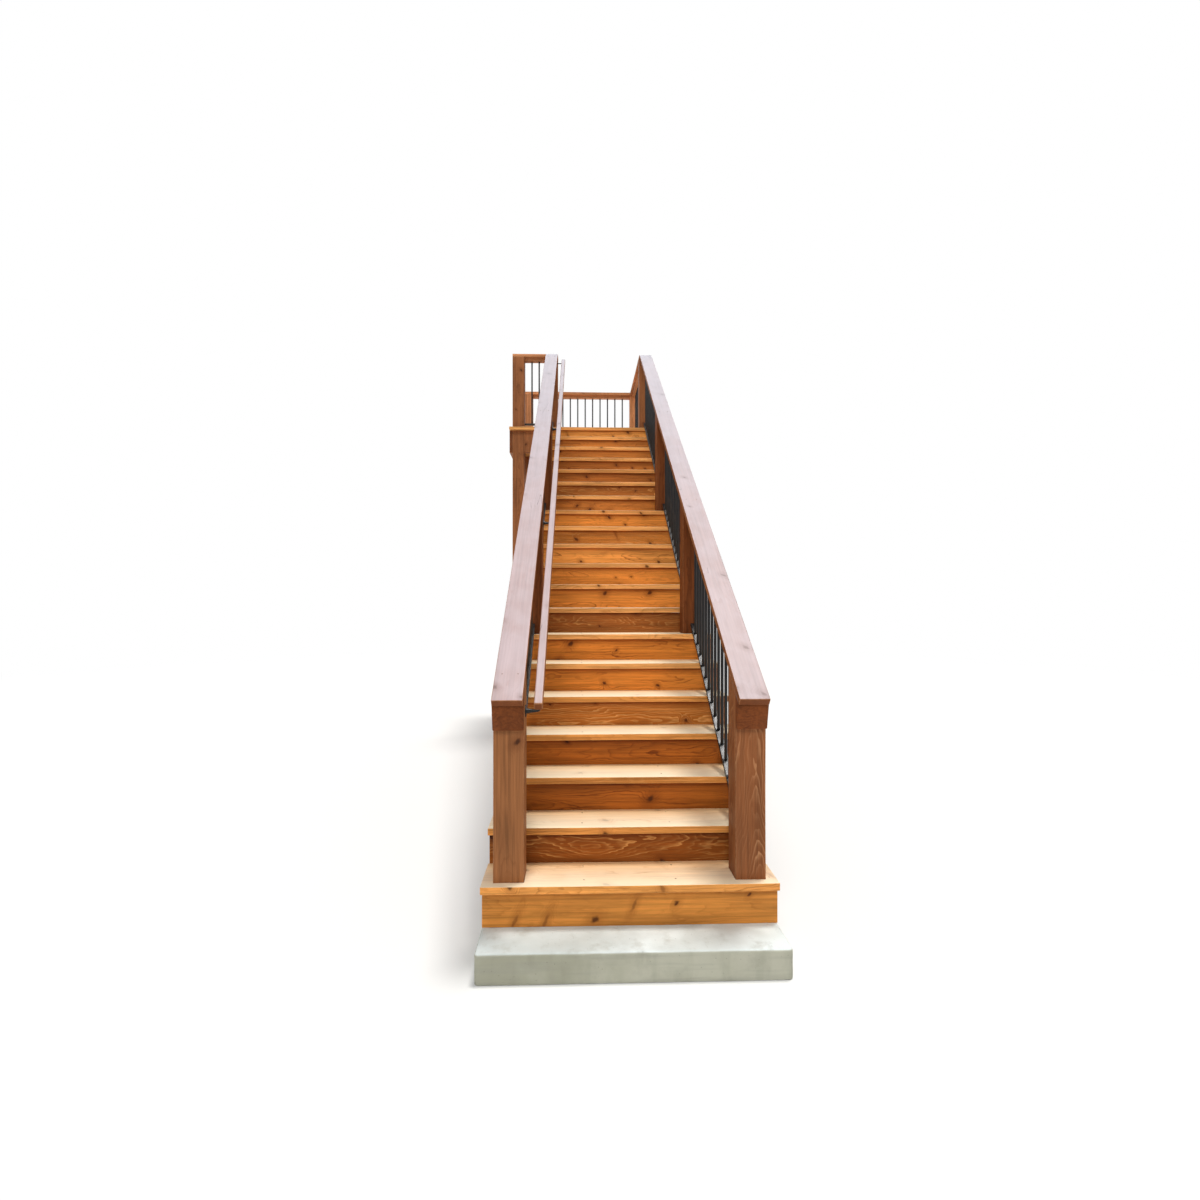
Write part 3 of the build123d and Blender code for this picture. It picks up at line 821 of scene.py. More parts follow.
def concrete_material():
    """Trowelled concrete: pale grey, its top darker toward the back, with clouds, drips, grit and pinholes.
    """
    material, graph, shader = new_material("trowelled concrete")
    where = graph.object_place()
    clouds = graph.spread(graph.noise(where, 2.2, 5.0, 0.6), 0.35, 0.65)
    blotch = graph.noise(where, 11.0, 4.0, 0.6)
    grit = graph.noise(where, 420.0, 3.0, 0.7)
    streak = graph.noise(graph.vector("MULTIPLY", where, (1.0, 1.0, 14.0)), 3.0, 3.0)
    drip = graph.noise(graph.vector("MULTIPLY", where, (13.0, 13.0, 2.5)), 1.0, 4.0)
    distance, hole = graph.cells(where, 60.0)
    pit = graph.spread(distance, 0.06, 0.16, 1.0, 0.0) * (hole[0] < 0.22)
    top = graph.spread(graph.upward(), 0.4, 0.9)
    # The top is darker toward its back
    darker_toward_back = graph.spread(graph.split(where)[1], -STEP_SHOWN, 0.04, 0.0, 0.22)
    wall = graph.mix(clouds, (0.35, 0.345, 0.26), (0.48, 0.475, 0.38))
    face = graph.mix(clouds, (0.58, 0.63, 0.62), (0.76, 0.82, 0.81))
    color = graph.mix(top, wall, graph.mix(darker_toward_back, face, (0.42, 0.44, 0.38)))
    for amount, tone in (
        (graph.spread(blotch, 0.5, 0.75, 0.0, 0.4), (0.33, 0.32, 0.26)),
        (graph.spread(streak, 0.46, 0.72, 0.0, 0.34), (0.30, 0.30, 0.25)),
        (graph.spread(drip, 0.5, 0.72, 0.0, 0.24) * (1.0 - top), (0.22, 0.22, 0.16)),
        (graph.spread(grit, 0.55, 0.75, 0.0, 0.35), (0.25, 0.24, 0.22)),
        (pit * 0.6, (0.12, 0.11, 0.10)),
    ):
        color = graph.mix(amount, color, tone)
    graph.feed(shader, {
        "Base Color": color,
        "Roughness": graph.spread(blotch, 0.3, 0.7, 0.7, 0.92),
        "Normal": graph.bump(grit * 0.5 - pit, 0.0012),
    })
    return material


BLACK = black_metal_material()
GALVANISED = galvanised_material()
SCREW = screw_material()
CONCRETE = concrete_material()


# Places of the main lines


def slope_line(box, y):
    """Height at y of the lower face of a sloping piece, from the low corner of its box."""
    return box.low[2] + SLOPE * (y - box.low[1])


def cap_under(y):
    """Height of the sloping cap's lower face."""
    return slope_line(SUB_RAILS, y) + SUB_PLUMB


def slope_start(x, box, thick):
    """Middle of the low end of a sloping timber with a square end, from the low corner of its box."""
    return np.array([x, box.low[1], box.low[2] + thick * math.cos(ANGLE)]) - OUT_OF_SLOPE * thick / 2


def even_places(start, end, most):
    """Even places between two ends, no further apart than the given pitch."""
    spaces = math.ceil((end - start) / most)
    return np.linspace(start, end, spaces + 1)[1:-1]


def post_holes():
    """Low and high corners of a close hole round every post."""
    left = DECK_POST.low[0]
    places = [(x, box) for box in (*BRACKET_POSTS, TOP_NEWELS) for x in POST_LINES]
    places += [(left, DECK_POST), (left, FAR_POSTS), (POST_INNER, FAR_POSTS)]
    holes = []
    for x, box in places:
        low = np.array([x, box.low[1], 0.0])
        high = np.array([x + POST, box.high[1], box.high[2]])
        holes.append((low - POST_FIT, high + POST_FIT))
    return holes


POST_HOLES = post_holes()


# Concrete step, treads and risers


def build_concrete_step():
    """A rounded slab: a rounded rectangle carried up, its upper edge eased on a quarter circle.

    The top closes in rings that shrink to its middle. Slow waves sink the top and draw the
    sides in by up to two millimetres.
    """
    wide, deep, high = CONCRETE_STEP.size
    margin, corner, edge, wave_height = 0.002, 0.02, 0.012, 0.0012
    section, normals = rounded_section(wide - margin, deep - margin, corner, arc_steps=5, flat_steps=60)
    turn = np.linspace(0, math.radians(90), 6)[1:]
    wall = np.linspace(0, high - edge, 12)
    insets = np.concatenate([np.zeros(len(wall)), edge * (1 - np.cos(turn))])
    flat = section[None] - normals[None] * insets[:, None, None]
    shares = np.linspace(0, 1, 30)[1:-1]
    rings = np.concatenate([flat, flat[-1] * (1 - shares[:, None, None])])
    heights = np.concatenate([wall, high - edge + edge * np.sin(turn), np.full(len(shares), high)])
    x, y = rings[..., 0] + CONCRETE_STEP.middle[0], rings[..., 1] + CONCRETE_STEP.middle[1]
    z = np.broadcast_to(heights[:, None], x.shape)
    wave = wave_height * (np.sin(x * 9 + y * 4) * np.sin(y * 11 - 1) + 0.5 * np.sin(x * 31 + y * 23))
    z = z + np.minimum(wave, 0) * z / high
    inward = -np.sign(rings) * np.abs(wave_height * np.sin(x * 7 + z * 40) * np.cos(y * 13))[..., None]
    points = np.stack([x + inward[..., 0] * 0.5, y + inward[..., 1], z], -1).reshape(-1, 3)
    pile = Pile()
    pile.add(points, loft_faces(*rings.shape[:2]), points)
    place("concrete_block", pile, CONCRETE, "concrete", "concrete_step")


def notched_board(name, low, high, material, node):
    """One board, with a square hole wherever a post passes through it."""
    pile = Pile()
    squared(pile, low, high, axis=0)
    data = pile.mesh(name)
    holes = [
        (hole_low, hole_high) for hole_low, hole_high in POST_HOLES
        if hole_low[1] < high[1] and hole_high[1] > low[1] and hole_low[2] < low[2] < hole_high[2]
    ]
    if holes:
        data = cut_boxes(data, holes)
    place(name, data, material, "cedar_tread", node)


# The lowest treads keep the plain tread tone; the upper ones take a paler copy painted as in sunlight
PLAIN_LOW_TREADS = 5


def build_treads():
    """One board for each tread, notched round the posts that pass through it."""
    for number, tread in enumerate(TREADS, 1):
        cedar = TREAD_CEDAR if number <= PLAIN_LOW_TREADS else SUNLIT_TREAD_CEDAR
        notched_board(f"tread_board_{number:02d}", tread.low, tread.high, cedar, f"tread_{number:02d}")


def riser_piece(name, material, numbers):
    """One board under each numbered nosing; the lowest is deeper and ends on the concrete."""
    pile = Pile()
    for number in numbers:
        front = RISERS.low[1] + number * RUN
        high = FIRST_TOP + number * RISE - TREAD_THICK
        low = RISERS.low[2] if number == 0 else high - RISE
        corner = (RISERS.high[0], front + RISER_THICK, high)
        squared(pile, (RISERS.low[0], front, low), corner, axis=0, edge=RISER_EDGE)
    place(name, pile, material, "cedar_tread", "risers")


# Risers by look: piece, cedar, its early and late wood, what else differs, and the boards' numbers
PALE_FIGURE = {"Pale Share": 1.0, "Ring Strength": 0.6, "Ring Width": 0.008}
# The riser tones are partly board-to-board change and partly painted light and shade: the lowest risers
# painted darker as in shade, the middle ones lighter as if lit
RISER_LOOKS = (
    ("figured_riser_board", "dark cedar with pale figure",
     (0.38, 0.11, 0.014), (0.14, 0.03, 0.004), PALE_FIGURE, (1,)),
    ("dull_figured_riser_board", "dull cedar with pale figure",
     (0.50, 0.17, 0.034), (0.19, 0.05, 0.010), PALE_FIGURE, (7,)),
    ("dark_riser_boards", "dark cedar",
     (0.40, 0.115, 0.015), (0.14, 0.03, 0.004), {"Pale Share": 0.0}, (2, 3)),
    ("dull_riser_boards", "dull cedar",
     (0.50, 0.165, 0.032), (0.18, 0.046, 0.010), {"Pale Share": 0.2}, (15, 16)),
    ("golden_riser_boards", "golden cedar",
     (0.72, 0.25, 0.038), (0.22, 0.05, 0.008), {"Pale Share": 0.4}, (4, 5, 6)),
    ("brown_riser_boards", "brown cedar",
     (0.60, 0.215, 0.042), (0.20, 0.052, 0.011), {"Pale Share": 0.3}, (13, 14, 17, 18)),
    ("light_riser_boards", "light cedar",
     (0.78, 0.29, 0.052), (0.30, 0.085, 0.014), {"Pale Share": 0.15}, (8, 9, 11, 12)),
    ("pale_riser_boards", "pale cedar",
     (0.86, 0.37, 0.085), (0.34, 0.11, 0.024), {"Pale Share": 0.15}, (10, 19)),
)


def build_risers():
    """The lowest board, number 0, is honey-coloured and full of spike knots; the others vary in tone."""
    riser_piece("lowest_riser_board", HONEY_CEDAR, (0,))
    for name, title, early, late, changes, numbers in RISER_LOOKS:
        recipe = {**CEDAR, "Streaks": 0.65, "Early": early, "Late": late, **changes}
        riser_piece(name, timber_material(title, recipe, sheltered=True), numbers)


# Posts


def build_leaning_posts():
    """The posts of the flight, each top cut to the slope of the cap above it."""
    for name, node, box, lines, material in (
        ("right_foot_newel_timber", "foot_newels", NEWELS, POST_LINES[:1], FIGURED_STAINED),
        ("left_foot_newel_timber", "foot_newels", NEWELS, POST_LINES[1:], PLAIN_STAINED),
        # The lower and upper posts are painted darker, as shade under the caps
        ("lower_post_timbers", "lower_posts", LOWER_POSTS, POST_LINES, DARK_STAIN_AND_SHADE),
        ("upper_post_timbers", "upper_posts", UPPER_POSTS, POST_LINES, DARK_STAIN_AND_SHADE),
    ):
        pile = Pile()
        for x in lines:
            foot = box.low[2]
            start = np.array([x + POST / 2, box.low[1] + POST / 2, foot])
            height = cap_under(start[1]) - foot
            timber(
                pile, start, Z_AXIS, -X_AXIS, height, POST, POST,
                high_cut=-SLOPE, pith=(0.02, 0.014), **POST_FINISH,
            )
        place(name, pile, material, "stained_timber", node)


def build_square_posts():
    """The posts of the landing, from the ground to under the level caps."""
    top_places = [(x, TOP_NEWELS.low[1]) for x in POST_LINES]
    far_places = [(x, FAR_POSTS.low[1]) for x in (POST_INNER, DECK_POST.low[0])]
    for name, node, material, places in (
        ("top_newel_timbers", "top_newels", STAINED, top_places),
        ("deck_side_post_timber", "deck_side_post", STAINED, [DECK_POST.low[:2]]),
        # The far posts are painted as in sunlight
        ("far_post_timbers", "far_posts", SUNLIT_RED_STAINED, far_places),
    ):
        pile = Pile()
        for x, y in places:
            corner = (x + POST, y + POST, TOP_NEWELS.high[2])
            squared(pile, (x, y, 0.0), corner, axis=2, pith=(0.018, 0.01), **POST_FINISH)
        place(name, pile, material, "stained_timber", node)


# Rails


def build_sloping_rails():
    """Sub-rails from post to post, and over them one cap board on each side."""
    subs, caps = Pile(), Pile()
    cap_length = CAPS.size[1] * PLUMB - CAP_THICK / 2 * SLOPE
    for x in (POST_MID, -POST_MID):
        for low_y, high_y in BAYS:
            start = np.array([x, low_y, cap_under(low_y) - SUB_PLUMB / 2])
            timber(
                subs, start, UP_SLOPE, -X_AXIS, (high_y - low_y) * PLUMB, SUB_WIDTH, SUB_PLUMB / PLUMB,
                low_cut=SLOPE, high_cut=SLOPE,
            )
        timber(
            caps, slope_start(x, CAPS, CAP_THICK), UP_SLOPE, -X_AXIS, cap_length, POST, CAP_THICK,
            edge=ROUGH_EDGE, high_cut=SLOPE, wander=LONG_WANDER,
        )
    for points in caps.points:
        points[:, 2] = np.minimum(points[:, 2], LEVEL_CAPS.high[2])
    place("sub_rail_timbers", subs, STAINED, "stained_timber", "stair_sub_rails")
    place("cap_boards", caps, STAINED, "stained_timber", "stair_caps")


def build_newel_heads():
    """The leaning block under each cap's foot: a side outline with eased corners, carried across.

    Its grain runs level from front to back, so its front shows end grain.
    """
    ease, top_ease, hold = EASED_EDGE, 0.002, 0.05
    back, low = HEADS.high[1], HEADS.low[2]
    front_low, front_top = back - HEAD_FOOT, HEADS.low[1]
    outline = np.array([
        (back, low), (front_low + ease, low), (front_low, low + ease),
        (front_top, cap_under(front_top) - ease),
        (front_top + top_ease, cap_under(front_top + top_ease)),
        (back, cap_under(back)),
    ])
    to_middle = outline.mean(0) - outline
    to_middle /= np.linalg.norm(to_middle, axis=1)[:, None]
    reaches = np.array([0, ease, hold, POST - hold, POST - ease, POST]) - POST / 2
    insets = np.array([ease, 0, 0, 0, 0, ease])
    rings = outline + to_middle * insets[:, None, None]
    rings[:, [0, -1], 0] = back
    pile = Pile()
    for x in (POST_MID, -POST_MID):
        sides = np.broadcast_to((x + reaches)[:, None, None], (*rings.shape[:2], 1))
        points = np.concatenate([sides, rings], -1).reshape(-1, 3)
        local = points - np.array([x, back, low])
        grain = local[:, [1, 0, 2]] + np.array([dice.uniform(0, 9), 0.02, 0.09])
        pile.add(points, loft_faces(*rings.shape[:2]), grain, dice.uniform(), ends=0.2)
    place("newel_head_blocks", pile, DARK_STAIN_AND_SHADE, "stained_timber", "newel_heads")


def build_handrail():
    """A slim square rail with well-rounded edges."""
    pile = Pile()
    size = HANDRAIL.size[0]
    length = (HANDRAIL.size[1] - size * math.sin(ANGLE)) * PLUMB
    timber(
        pile, slope_start(HANDRAIL.middle[0], HANDRAIL, size), UP_SLOPE, -X_AXIS, length, size, size,
        edge=HANDRAIL_EDGE, wander=LONG_WANDER, pith=(0.05, -0.05),
    )
    place("handrail_timber", pile, STAINED, "stained_timber", "handrail")


# Baluster panels


def build_sloping_panels():
    """In each bay a slim sloping bottom bar, and round bars from it up to the sub-rail."""
    for x, name, node in (
        (POST_MID, "right_metal_bars", "right_balusters"),
        (-POST_MID, "left_metal_bars", "left_balusters"),
    ):
        pile = Pile()
        for low_y, high_y in BAYS:
            start = np.array([x, low_y, slope_line(PANELS, low_y) + SHOE_THICK * PLUMB / 2])
            timber(
                pile, start, UP_SLOPE, -X_AXIS, (high_y - low_y) * PLUMB, SHOE_WIDTH, SHOE_THICK,
                low_cut=SLOPE, high_cut=SLOPE, **SHOE_FINISH,
            )
            for y in even_places(low_y, high_y, BALUSTER_PITCH_MOST):
                foot = slope_line(PANELS, y) + SHOE_THICK * PLUMB / 2
                top = slope_line(SUB_RAILS, y) + BALUSTER_R * SLOPE
                bar(pile, (x, y, foot), (x, y, top), BALUSTER_R)
        place(name, pile, BLACK, "black_metal", node)


def build_level_panels():
    """The same on the landing's three level runs."""
    pile = Pile()
    foot, top = LEVEL_PANELS.low[2] + SHOE_THICK / 2, LEVEL_PANELS.high[2]
    for run_start, run_end in LEVEL_RUNS:
        start, end = np.array([*run_start, 0.0]), np.array([*run_end, 0.0])
        length = np.linalg.norm(end - start)
        along = (end - start) / length
        across = np.cross(Z_AXIS, along)
        timber(pile, start + Z_AXIS * foot, along, across, length, SHOE_WIDTH, SHOE_THICK, **SHOE_FINISH)
        for reach in even_places(0.0, length, LANDING_PITCH_MOST):
            middle = start + along * reach
            bar(pile, middle + Z_AXIS * foot, middle + Z_AXIS * top, BALUSTER_R)
    place("landing_metal_bars", pile, BLACK, "black_metal", "landing_balusters")


# Landing


def build_landing_floor():
    """Boards across the landing with a small gap between them, notched round the posts."""
    for index in range(BOARD_COUNT):
        front = BOARDS.low[1] + index * (BOARD_WIDTH + BOARD_GAP)
        low = (BOARDS.low[0], front, BOARDS.low[2])
        high = (BOARDS.high[0], front + BOARD_WIDTH, BOARDS.high[2])
        notched_board(f"landing_board_{index + 1:02d}", low, high, BOARD_CEDAR, "landing_boards")


def build_landing_rims():
    for name, node, box in (
        ("right_rim_board", "right_rim", RIGHT_RIM),
        ("left_rim_board", "left_rim", LEFT_RIM),
        ("back_rim_board", "back_rim", BACK_RIM),
    ):
        pile = Pile()
        squared(pile, box.low, box.high)
        place(name, pile, STAINED, "stained_timber", node)


def build_landing_joists():
    """The joists, a deep board in line with the left stringer, and the front and side headers."""
    joists, headers = Pile(), Pile()
    half, top, end = RIM_THICK / 2, JOISTS.high[2], FAR_POSTS.high[1]
    front, side_front = HEADER.low[1] + RIM_THICK, TOP_NEWELS.low[1] + RIM_THICK
    for x in (*JOIST_LINES, -2 * JOIST_PITCH):
        start = front if x in JOIST_LINES else side_front
        squared(joists, (x - half, start, top - JOIST_DEPTH), (x + half, end, top))
    beside = -POST_OUTER - RIM_THICK
    squared(joists, (beside, HEADER.low[1], JOISTS.low[2]), (-POST_OUTER, end, top))
    squared(headers, (-POST_INNER, *HEADER.low[1:]), (POST_INNER, front, HEADER.high[2]))
    side_low = (HEADER.low[0], HEADER.high[1] - RIM_THICK, HEADER.low[2])
    squared(headers, side_low, (beside, *HEADER.high[1:]))
    place("joist_boards", joists, STAINED, "stained_timber", "landing_joists")
    place("header_boards", headers, STAINED, "stained_timber", "front_header")


def build_level_rails():
    """Flat caps as wide as the posts, and a sub-rail under each between the posts."""
    caps, subs = Pile(), Pile()
    low, high = LEVEL_CAPS.low[2], LEVEL_CAPS.high[2]
    left, seam = DECK_POST.low[0], 0.001
    for cap_low, cap_high in (
        ((POST_INNER, TOP_NEWELS.low[1], low), (POST_OUTER, FAR_POSTS.high[1], high)),
        ((left, FAR_POSTS.low[1], low), (POST_INNER - seam, FAR_POSTS.high[1], high)),
        ((left, TOP_NEWELS.low[1], low), (-POST_INNER, TOP_NEWELS.high[1], high)),
    ):
        squared(caps, cap_low, cap_high, edge=ROUGH_EDGE)
    for start, end in np.array(LEVEL_RUNS):
        aside = (end - start)[::-1] / np.linalg.norm(end - start) * LEVEL_SUB_WIDTH / 2
        squared(subs, (*(start - aside), LEVEL_SUBS.low[2]), (*(end + aside), LEVEL_SUBS.high[2]))
    # The level caps and sub-rails are painted as in sunlight
    place("level_cap_boards", caps, SUNLIT_RED_STAINED, "stained_timber", "landing_caps")
    place("level_sub_rail_boards", subs, SUNLIT_RED_STAINED, "stained_timber", "landing_sub_rails")


# Screws, bolts and hangers

OUTER_LINE = (STRINGERS.high[0] + POST_OUTER) / 2
MIDDLE_LINE = MIDDLE_STRINGERS.high[0] - RIM_THICK / 2


def screw_head(pile, centre, axis):
    """A flat screw head a hair above the wood, with a round recess for the driver."""
    profile = [(-0.002, 0.0042), (0.0003, 0.0042), (0.0005, 0.0037), (0.0004, 0.0021), (-0.0012, 0.0016)]
    lathe(pile, centre, axis, profile, sides=12)


def bolt_head(pile, centre, axis):
    """A domed carriage bolt head on a thin washer: a quarter circle turned round the axis."""
    turn = np.linspace(0, math.radians(80), 6)
    dome = [(0.0018 + 0.0060 * math.sin(t), 0.0115 * math.cos(t)) for t in turn]
    lathe(pile, centre, axis, [(-0.001, 0.019), (0.0012, 0.019), (0.0018, 0.0184)] + dome, sides=20)


def bracket_centre(post):
    """Middle of the face of a handrail bracket's round plate, on the inner side of a left post."""
    height = BRACKETS.low[2] + ROSE_R + SLOPE * (post.low[1] - NEWELS.low[1])
    return np.array([-POST_INNER + ROSE_THICK, post.low[1] + POST / 2, height])


def build_floor_screws():
    """Two screws where a tread or landing board crosses each of the timbers under it."""
    pile = Pile()
    from_front, from_back = 0.070, 0.050
    for tread in TREADS:
        for x in (-OUTER_LINE, -MIDDLE_LINE, MIDDLE_LINE, OUTER_LINE):
            for y in (tread.low[1] + from_front, tread.high[1] - from_back):
                screw_head(pile, (x + dice.uniform(-0.006, 0.006), y, tread.high[2]), Z_AXIS)
    left_line = LEFT_RIM.low[0] + RIM_THICK / 2
    lines = [left_line, -2 * JOIST_PITCH, -OUTER_LINE, *JOIST_LINES, OUTER_LINE]
    for index in range(1, BOARD_COUNT):
        front = BOARDS.low[1] + index * (BOARD_WIDTH + BOARD_GAP)
        for x in lines:
            for share in (0.2, 0.8):
                centre = (x + dice.uniform(-0.004, 0.004), front + BOARD_WIDTH * share, BOARDS.high[2])
                if not any((low < centre).all() and (high > centre).all() for low, high in POST_HOLES):
                    screw_head(pile, centre, Z_AXIS)
    place("floor_screws", pile, SCREW, "black_metal")


def build_rail_screws():
    """Two screws down through the cap over each post, and three in each bracket's round plate."""
    cap_pile, rose_pile = Pile(), Pile()
    beside_middle, before_newel, circle_r = 0.04, 0.2, 0.020
    posts = [post.low[1] + POST / 2 for post in BRACKET_POSTS]
    last = TOP_NEWELS.low[1] - before_newel + POST / 2
    for side_x in (POST_MID, -POST_MID):
        for y in (*posts, last):
            for x in (side_x - beside_middle, side_x + beside_middle):
                screw_head(cap_pile, (x, y, cap_under(y) + CAP_THICK * PLUMB), OUT_OF_SLOPE)
    for post in BRACKET_POSTS:
        for turn in np.radians((90, 210, 330)):
            ray = circle_r * np.array([0.0, math.cos(turn), math.sin(turn)])
            screw_head(rose_pile, bracket_centre(post) + ray, X_AXIS)
    place("cap_screws", cap_pile, SCREW, "black_metal")
    place("bracket_screws", rose_pile, SCREW, "black_metal")


def build_bracket_sleeves():
    """A flared sleeve where each bracket's arm leaves its round plate: a profile turned round the arm."""
    pile = Pile()
    reaches = (0.0, 0.006, 0.014, 0.026, 0.040, 0.052)
    radii = (0.0145, 0.0140, 0.0120, 0.0095, 0.0078, 0.0070)
    profile = list(zip(reaches, radii))
    for post in BRACKET_POSTS:
        lathe(pile, bracket_centre(post) - X_AXIS * 0.001, X_AXIS, profile)
    place("bracket_sleeves", pile, BLACK, "black_metal")


def build_bolts():
    """Two bolts hold each post to the stringer or rim beside it."""
    pile = Pile()
    bolt_drop, bolt_gap, above_step, rim_inset = 0.045, 0.090, 0.03, 0.07
    lowest = CONCRETE_STEP.high[2] + above_step
    for post in BRACKET_POSTS:
        y = post.low[1] + POST / 2
        high_z = FIRST_TOP + math.floor(y / RUN) * RISE - TREAD_THICK - bolt_drop
        for z in (high_z, max(high_z - bolt_gap, lowest)):
            for side in (1, -1):
                bolt_head(pile, (side * STRINGERS.high[0], y, z), (side, 0, 0))
    for z in (RIGHT_RIM.high[2] - rim_inset, RIGHT_RIM.low[2] + rim_inset):
        for y in (TOP_NEWELS.low[1] + POST / 2, FAR_POSTS.low[1] + POST / 2):
            bolt_head(pile, (RIGHT_RIM.high[0], y, z), X_AXIS)
            bolt_head(pile, (LEFT_RIM.low[0], y, z), -X_AXIS)
        for x in (POST_MID, DECK_POST.middle[0]):
            bolt_head(pile, (x, BACK_RIM.high[1], z), Y_AXIS)
    place("carriage_bolts", pile, GALVANISED, "black_metal")


def build_hangers():
    """A folded steel saddle under each end of each inner joist: a floor, two cheeks and two ears."""
    pile = Pile()
    low = JOISTS.high[2] - JOIST_DEPTH
    sheet, reach, height, ear = 0.0015, 0.050, 0.150, 0.028
    half = RIM_THICK / 2
    for x in JOIST_LINES:
        for y, inward in ((HEADER.low[1] + RIM_THICK, 1), (FAR_POSTS.high[1], -1)):
            near, far = sorted((y, y + inward * reach))
            ear_near, ear_far = sorted((y, y + inward * sheet))
            squared(pile, (x - half, near, low - sheet), (x + half, far, low), **SHEET_FINISH)
            for side in (1, -1):
                inner, outer = sorted((x + side * half, x + side * (half + sheet)))
                squared(pile, (inner, near, low - sheet), (outer, far, low + height), **SHEET_FINISH)
                inner, outer = sorted((x + side * half, x + side * (half + ear)))
                squared(pile, (inner, ear_near, low), (outer, ear_far, low + height), **SHEET_FINISH)
    place("joist_hangers", pile, GALVANISED, "black_metal")


def finish_cad_nodes():
    """Nodes that keep their own shape, with a fine bevel: stringers and handrail brackets."""
    for node, material, edge in (
        ("outer_stringers", SLOPED_STAINED, EASED_EDGE),
        ("middle_stringers", SLOPED_STAINED, EASED_EDGE),
        ("handrail_brackets", BLACK, BRACKET_EDGE),
    ):
        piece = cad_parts[node]
        piece.data.materials.clear()
        piece.data.materials.append(material)
        bevel = piece.modifiers.new("eased edges", "BEVEL")
        bevel.width = edge
        bevel.segments = 2
        bevel.limit_method = "ANGLE"


build_concrete_step()
build_treads()
build_risers()
build_leaning_posts()
build_square_posts()
build_sloping_rails()
build_newel_heads()
build_handrail()
build_sloping_panels()
build_level_panels()
build_landing_floor()
build_landing_rims()
build_landing_joists()
build_level_rails()
build_floor_screws()
build_rail_screws()
build_bracket_sleeves()
build_bolts()
build_hangers()
finish_cad_nodes()


# Floor, light and camera

FLOOR_MIDDLE = (0.0, 3.3, 0.0)
FLOOR_DROP = 0.002


def white_backdrop():
    """White for the camera and for mirror-like rays, plain soft light for everything else."""
    world = bpy.data.worlds.new("studio")
    bpy.context.scene.world = world
    world.use_nodes = True
    world.node_tree.nodes.clear()
    graph = Graph(world.node_tree)
    kinds = ("Is Camera Ray", "Is Glossy Ray", "Is Transmission Ray")
    camera, glossy, passing = (graph.signal("ShaderNodeLightPath", kind) for kind in kinds)
    seen = graph.math("MAXIMUM", graph.math("MAXIMUM", camera, glossy), passing)
    shown = graph.signal("ShaderNodeBackground", 0, {"Color": (1, 1, 1)})
    ambient = graph.signal("ShaderNodeBackground", 0, {"Color": (0.93, 0.97, 1.0), "Strength": 0.28})
    chosen = graph.signal("ShaderNodeMixShader", 0, {0: seen, 1: ambient, 2: shown})
    graph.node("ShaderNodeOutputWorld", {"Surface": chosen})


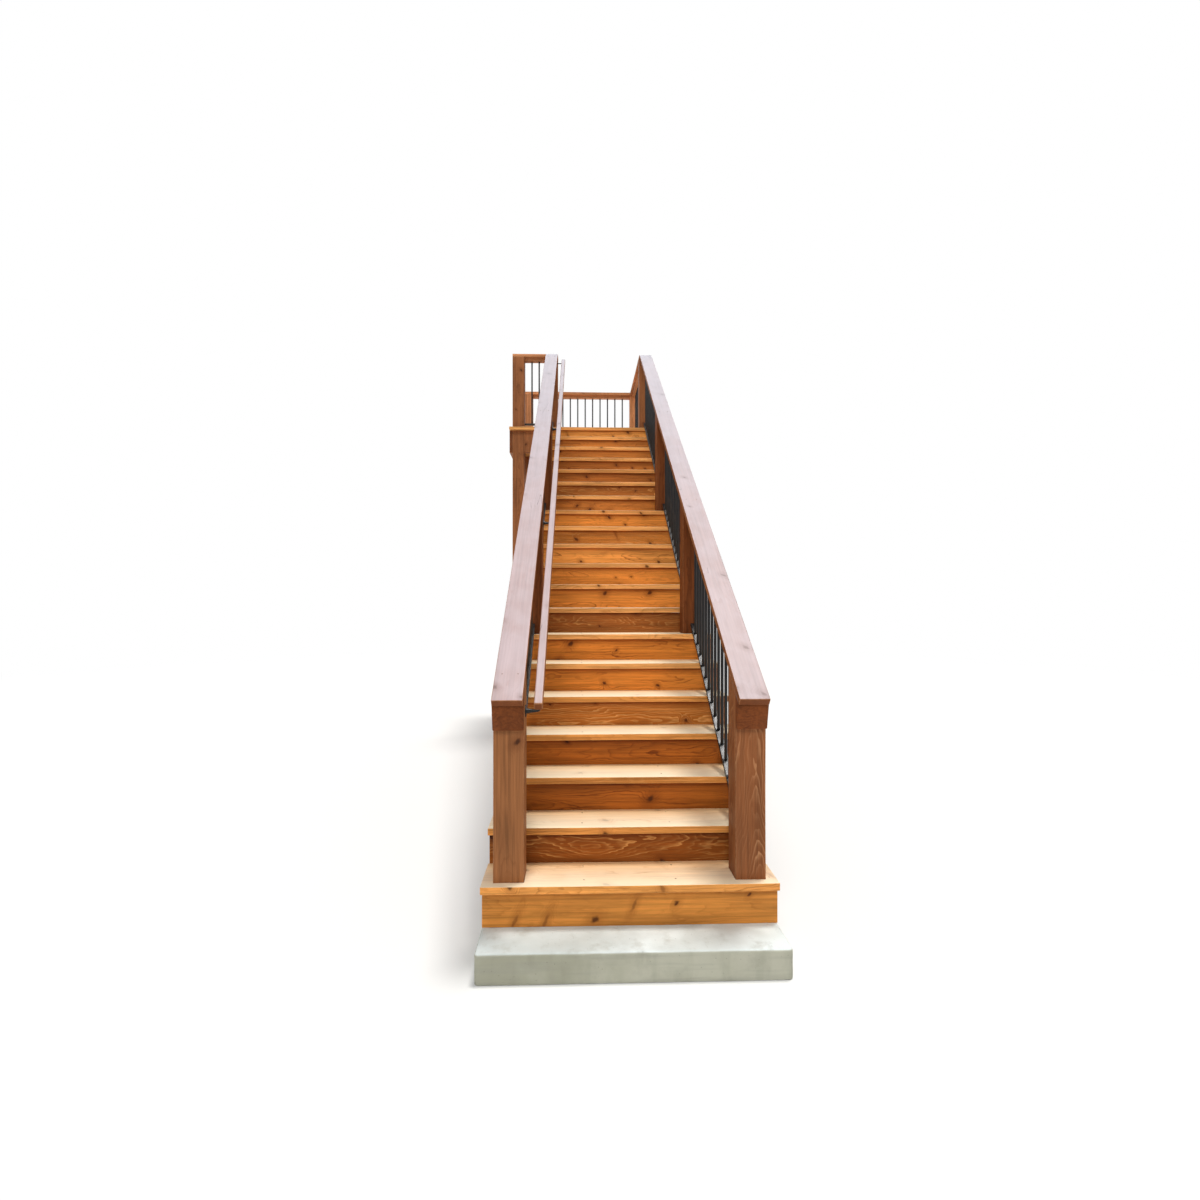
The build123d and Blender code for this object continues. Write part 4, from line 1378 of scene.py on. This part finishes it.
def pale_floor():
    """A wide round floor, rings about a point under the flight, that fades to plain white."""
    radii, around = np.array([4.0, 9.0, 14.0, 60.0]), 64
    turn = np.linspace(0, 2 * math.pi, around, endpoint=False)
    circle = np.stack([np.cos(turn), np.sin(turn), np.zeros(around)], -1)
    points = radii[:, None, None] * circle + FLOOR_MIDDLE
    data = bpy.data.meshes.new("floor")
    upward_faces = [face[::-1] for face in loft_faces(len(radii), around)[:-1]]
    data.from_pydata(points.reshape(-1, 3).tolist(), [], upward_faces)
    data.validate()
    floor = bpy.data.objects.new("floor", data)
    bpy.context.scene.collection.objects.link(floor)
    floor.location.z = -FLOOR_DROP
    material, graph, shader = new_material("pale floor")
    graph.feed(shader, {"Base Color": (0.80, 0.80, 0.79), "Roughness": 0.8})
    from_middle = graph.vector("SUBTRACT", graph.object_place(), FLOOR_MIDDLE)
    away = graph.signal("ShaderNodeVectorMath", "Value", {0: from_middle}, operation="LENGTH")
    far = graph.spread(away, 7.0, 16.0) * graph.signal("ShaderNodeLightPath", "Is Camera Ray")
    glow = graph.signal("ShaderNodeEmission", 0, {"Strength": 1.0})
    chosen = graph.signal("ShaderNodeMixShader", 0, {0: far, 1: Signal(graph, shader.outputs[0]), 2: glow})
    output = next(node for node in graph.tree.nodes if node.type == "OUTPUT_MATERIAL")
    graph.feed(output, {"Surface": chosen})
    data.materials.append(material)


def soft_light():
    """A high key, as under an open noon sky, and a very wide soft fill from the camera's side."""
    for name, energy, spread_angle, tint, toward in (
        ("key", 2.2, 12, (1.0, 0.98, 0.95), (0.14, 0.10, 0.98)),
        ("fill", 1.45, 26, (1.0, 0.99, 0.98), (-0.12, -0.62, 0.78)),
    ):
        lamp = bpy.data.lights.new(name, "SUN")
        lamp.energy = energy
        lamp.angle = math.radians(spread_angle)
        lamp.color = tint
        sun = bpy.data.objects.new(name, lamp)
        bpy.context.scene.collection.objects.link(sun)
        sun.rotation_mode = "QUATERNION"
        sun.rotation_quaternion = Vector(toward).to_track_quat("Z", "Y")


# The camera stands nearly level in front of the flight, a little left of its middle, turned slightly right
CAMERA_LEFT = 0.255
CAMERA_BACK = 3.10
EYE_ABOVE_FIRST_TREAD = 1.39
TURNED_RIGHT = math.radians(1.90)
TILTED_UP = math.radians(0.063)
FOCAL_PIXELS = 636.0
PHOTO_PIXELS = 1200.0
SENSOR = 36.0


def photo_camera():
    data = bpy.data.cameras.new("camera")
    data.sensor_width = SENSOR
    data.lens = SENSOR * FOCAL_PIXELS / PHOTO_PIXELS
    camera = bpy.data.objects.new("camera", data)
    bpy.context.scene.collection.objects.link(camera)
    camera.location = (-CAMERA_LEFT, -CAMERA_BACK, FIRST_TOP + EYE_ABOVE_FIRST_TREAD)
    camera.rotation_euler = (math.radians(90) + TILTED_UP, 0, -TURNED_RIGHT)
    bpy.context.scene.camera = camera


white_backdrop()
pale_floor()
soft_light()
photo_camera()
bpy.context.scene.view_settings.view_transform = "Standard"
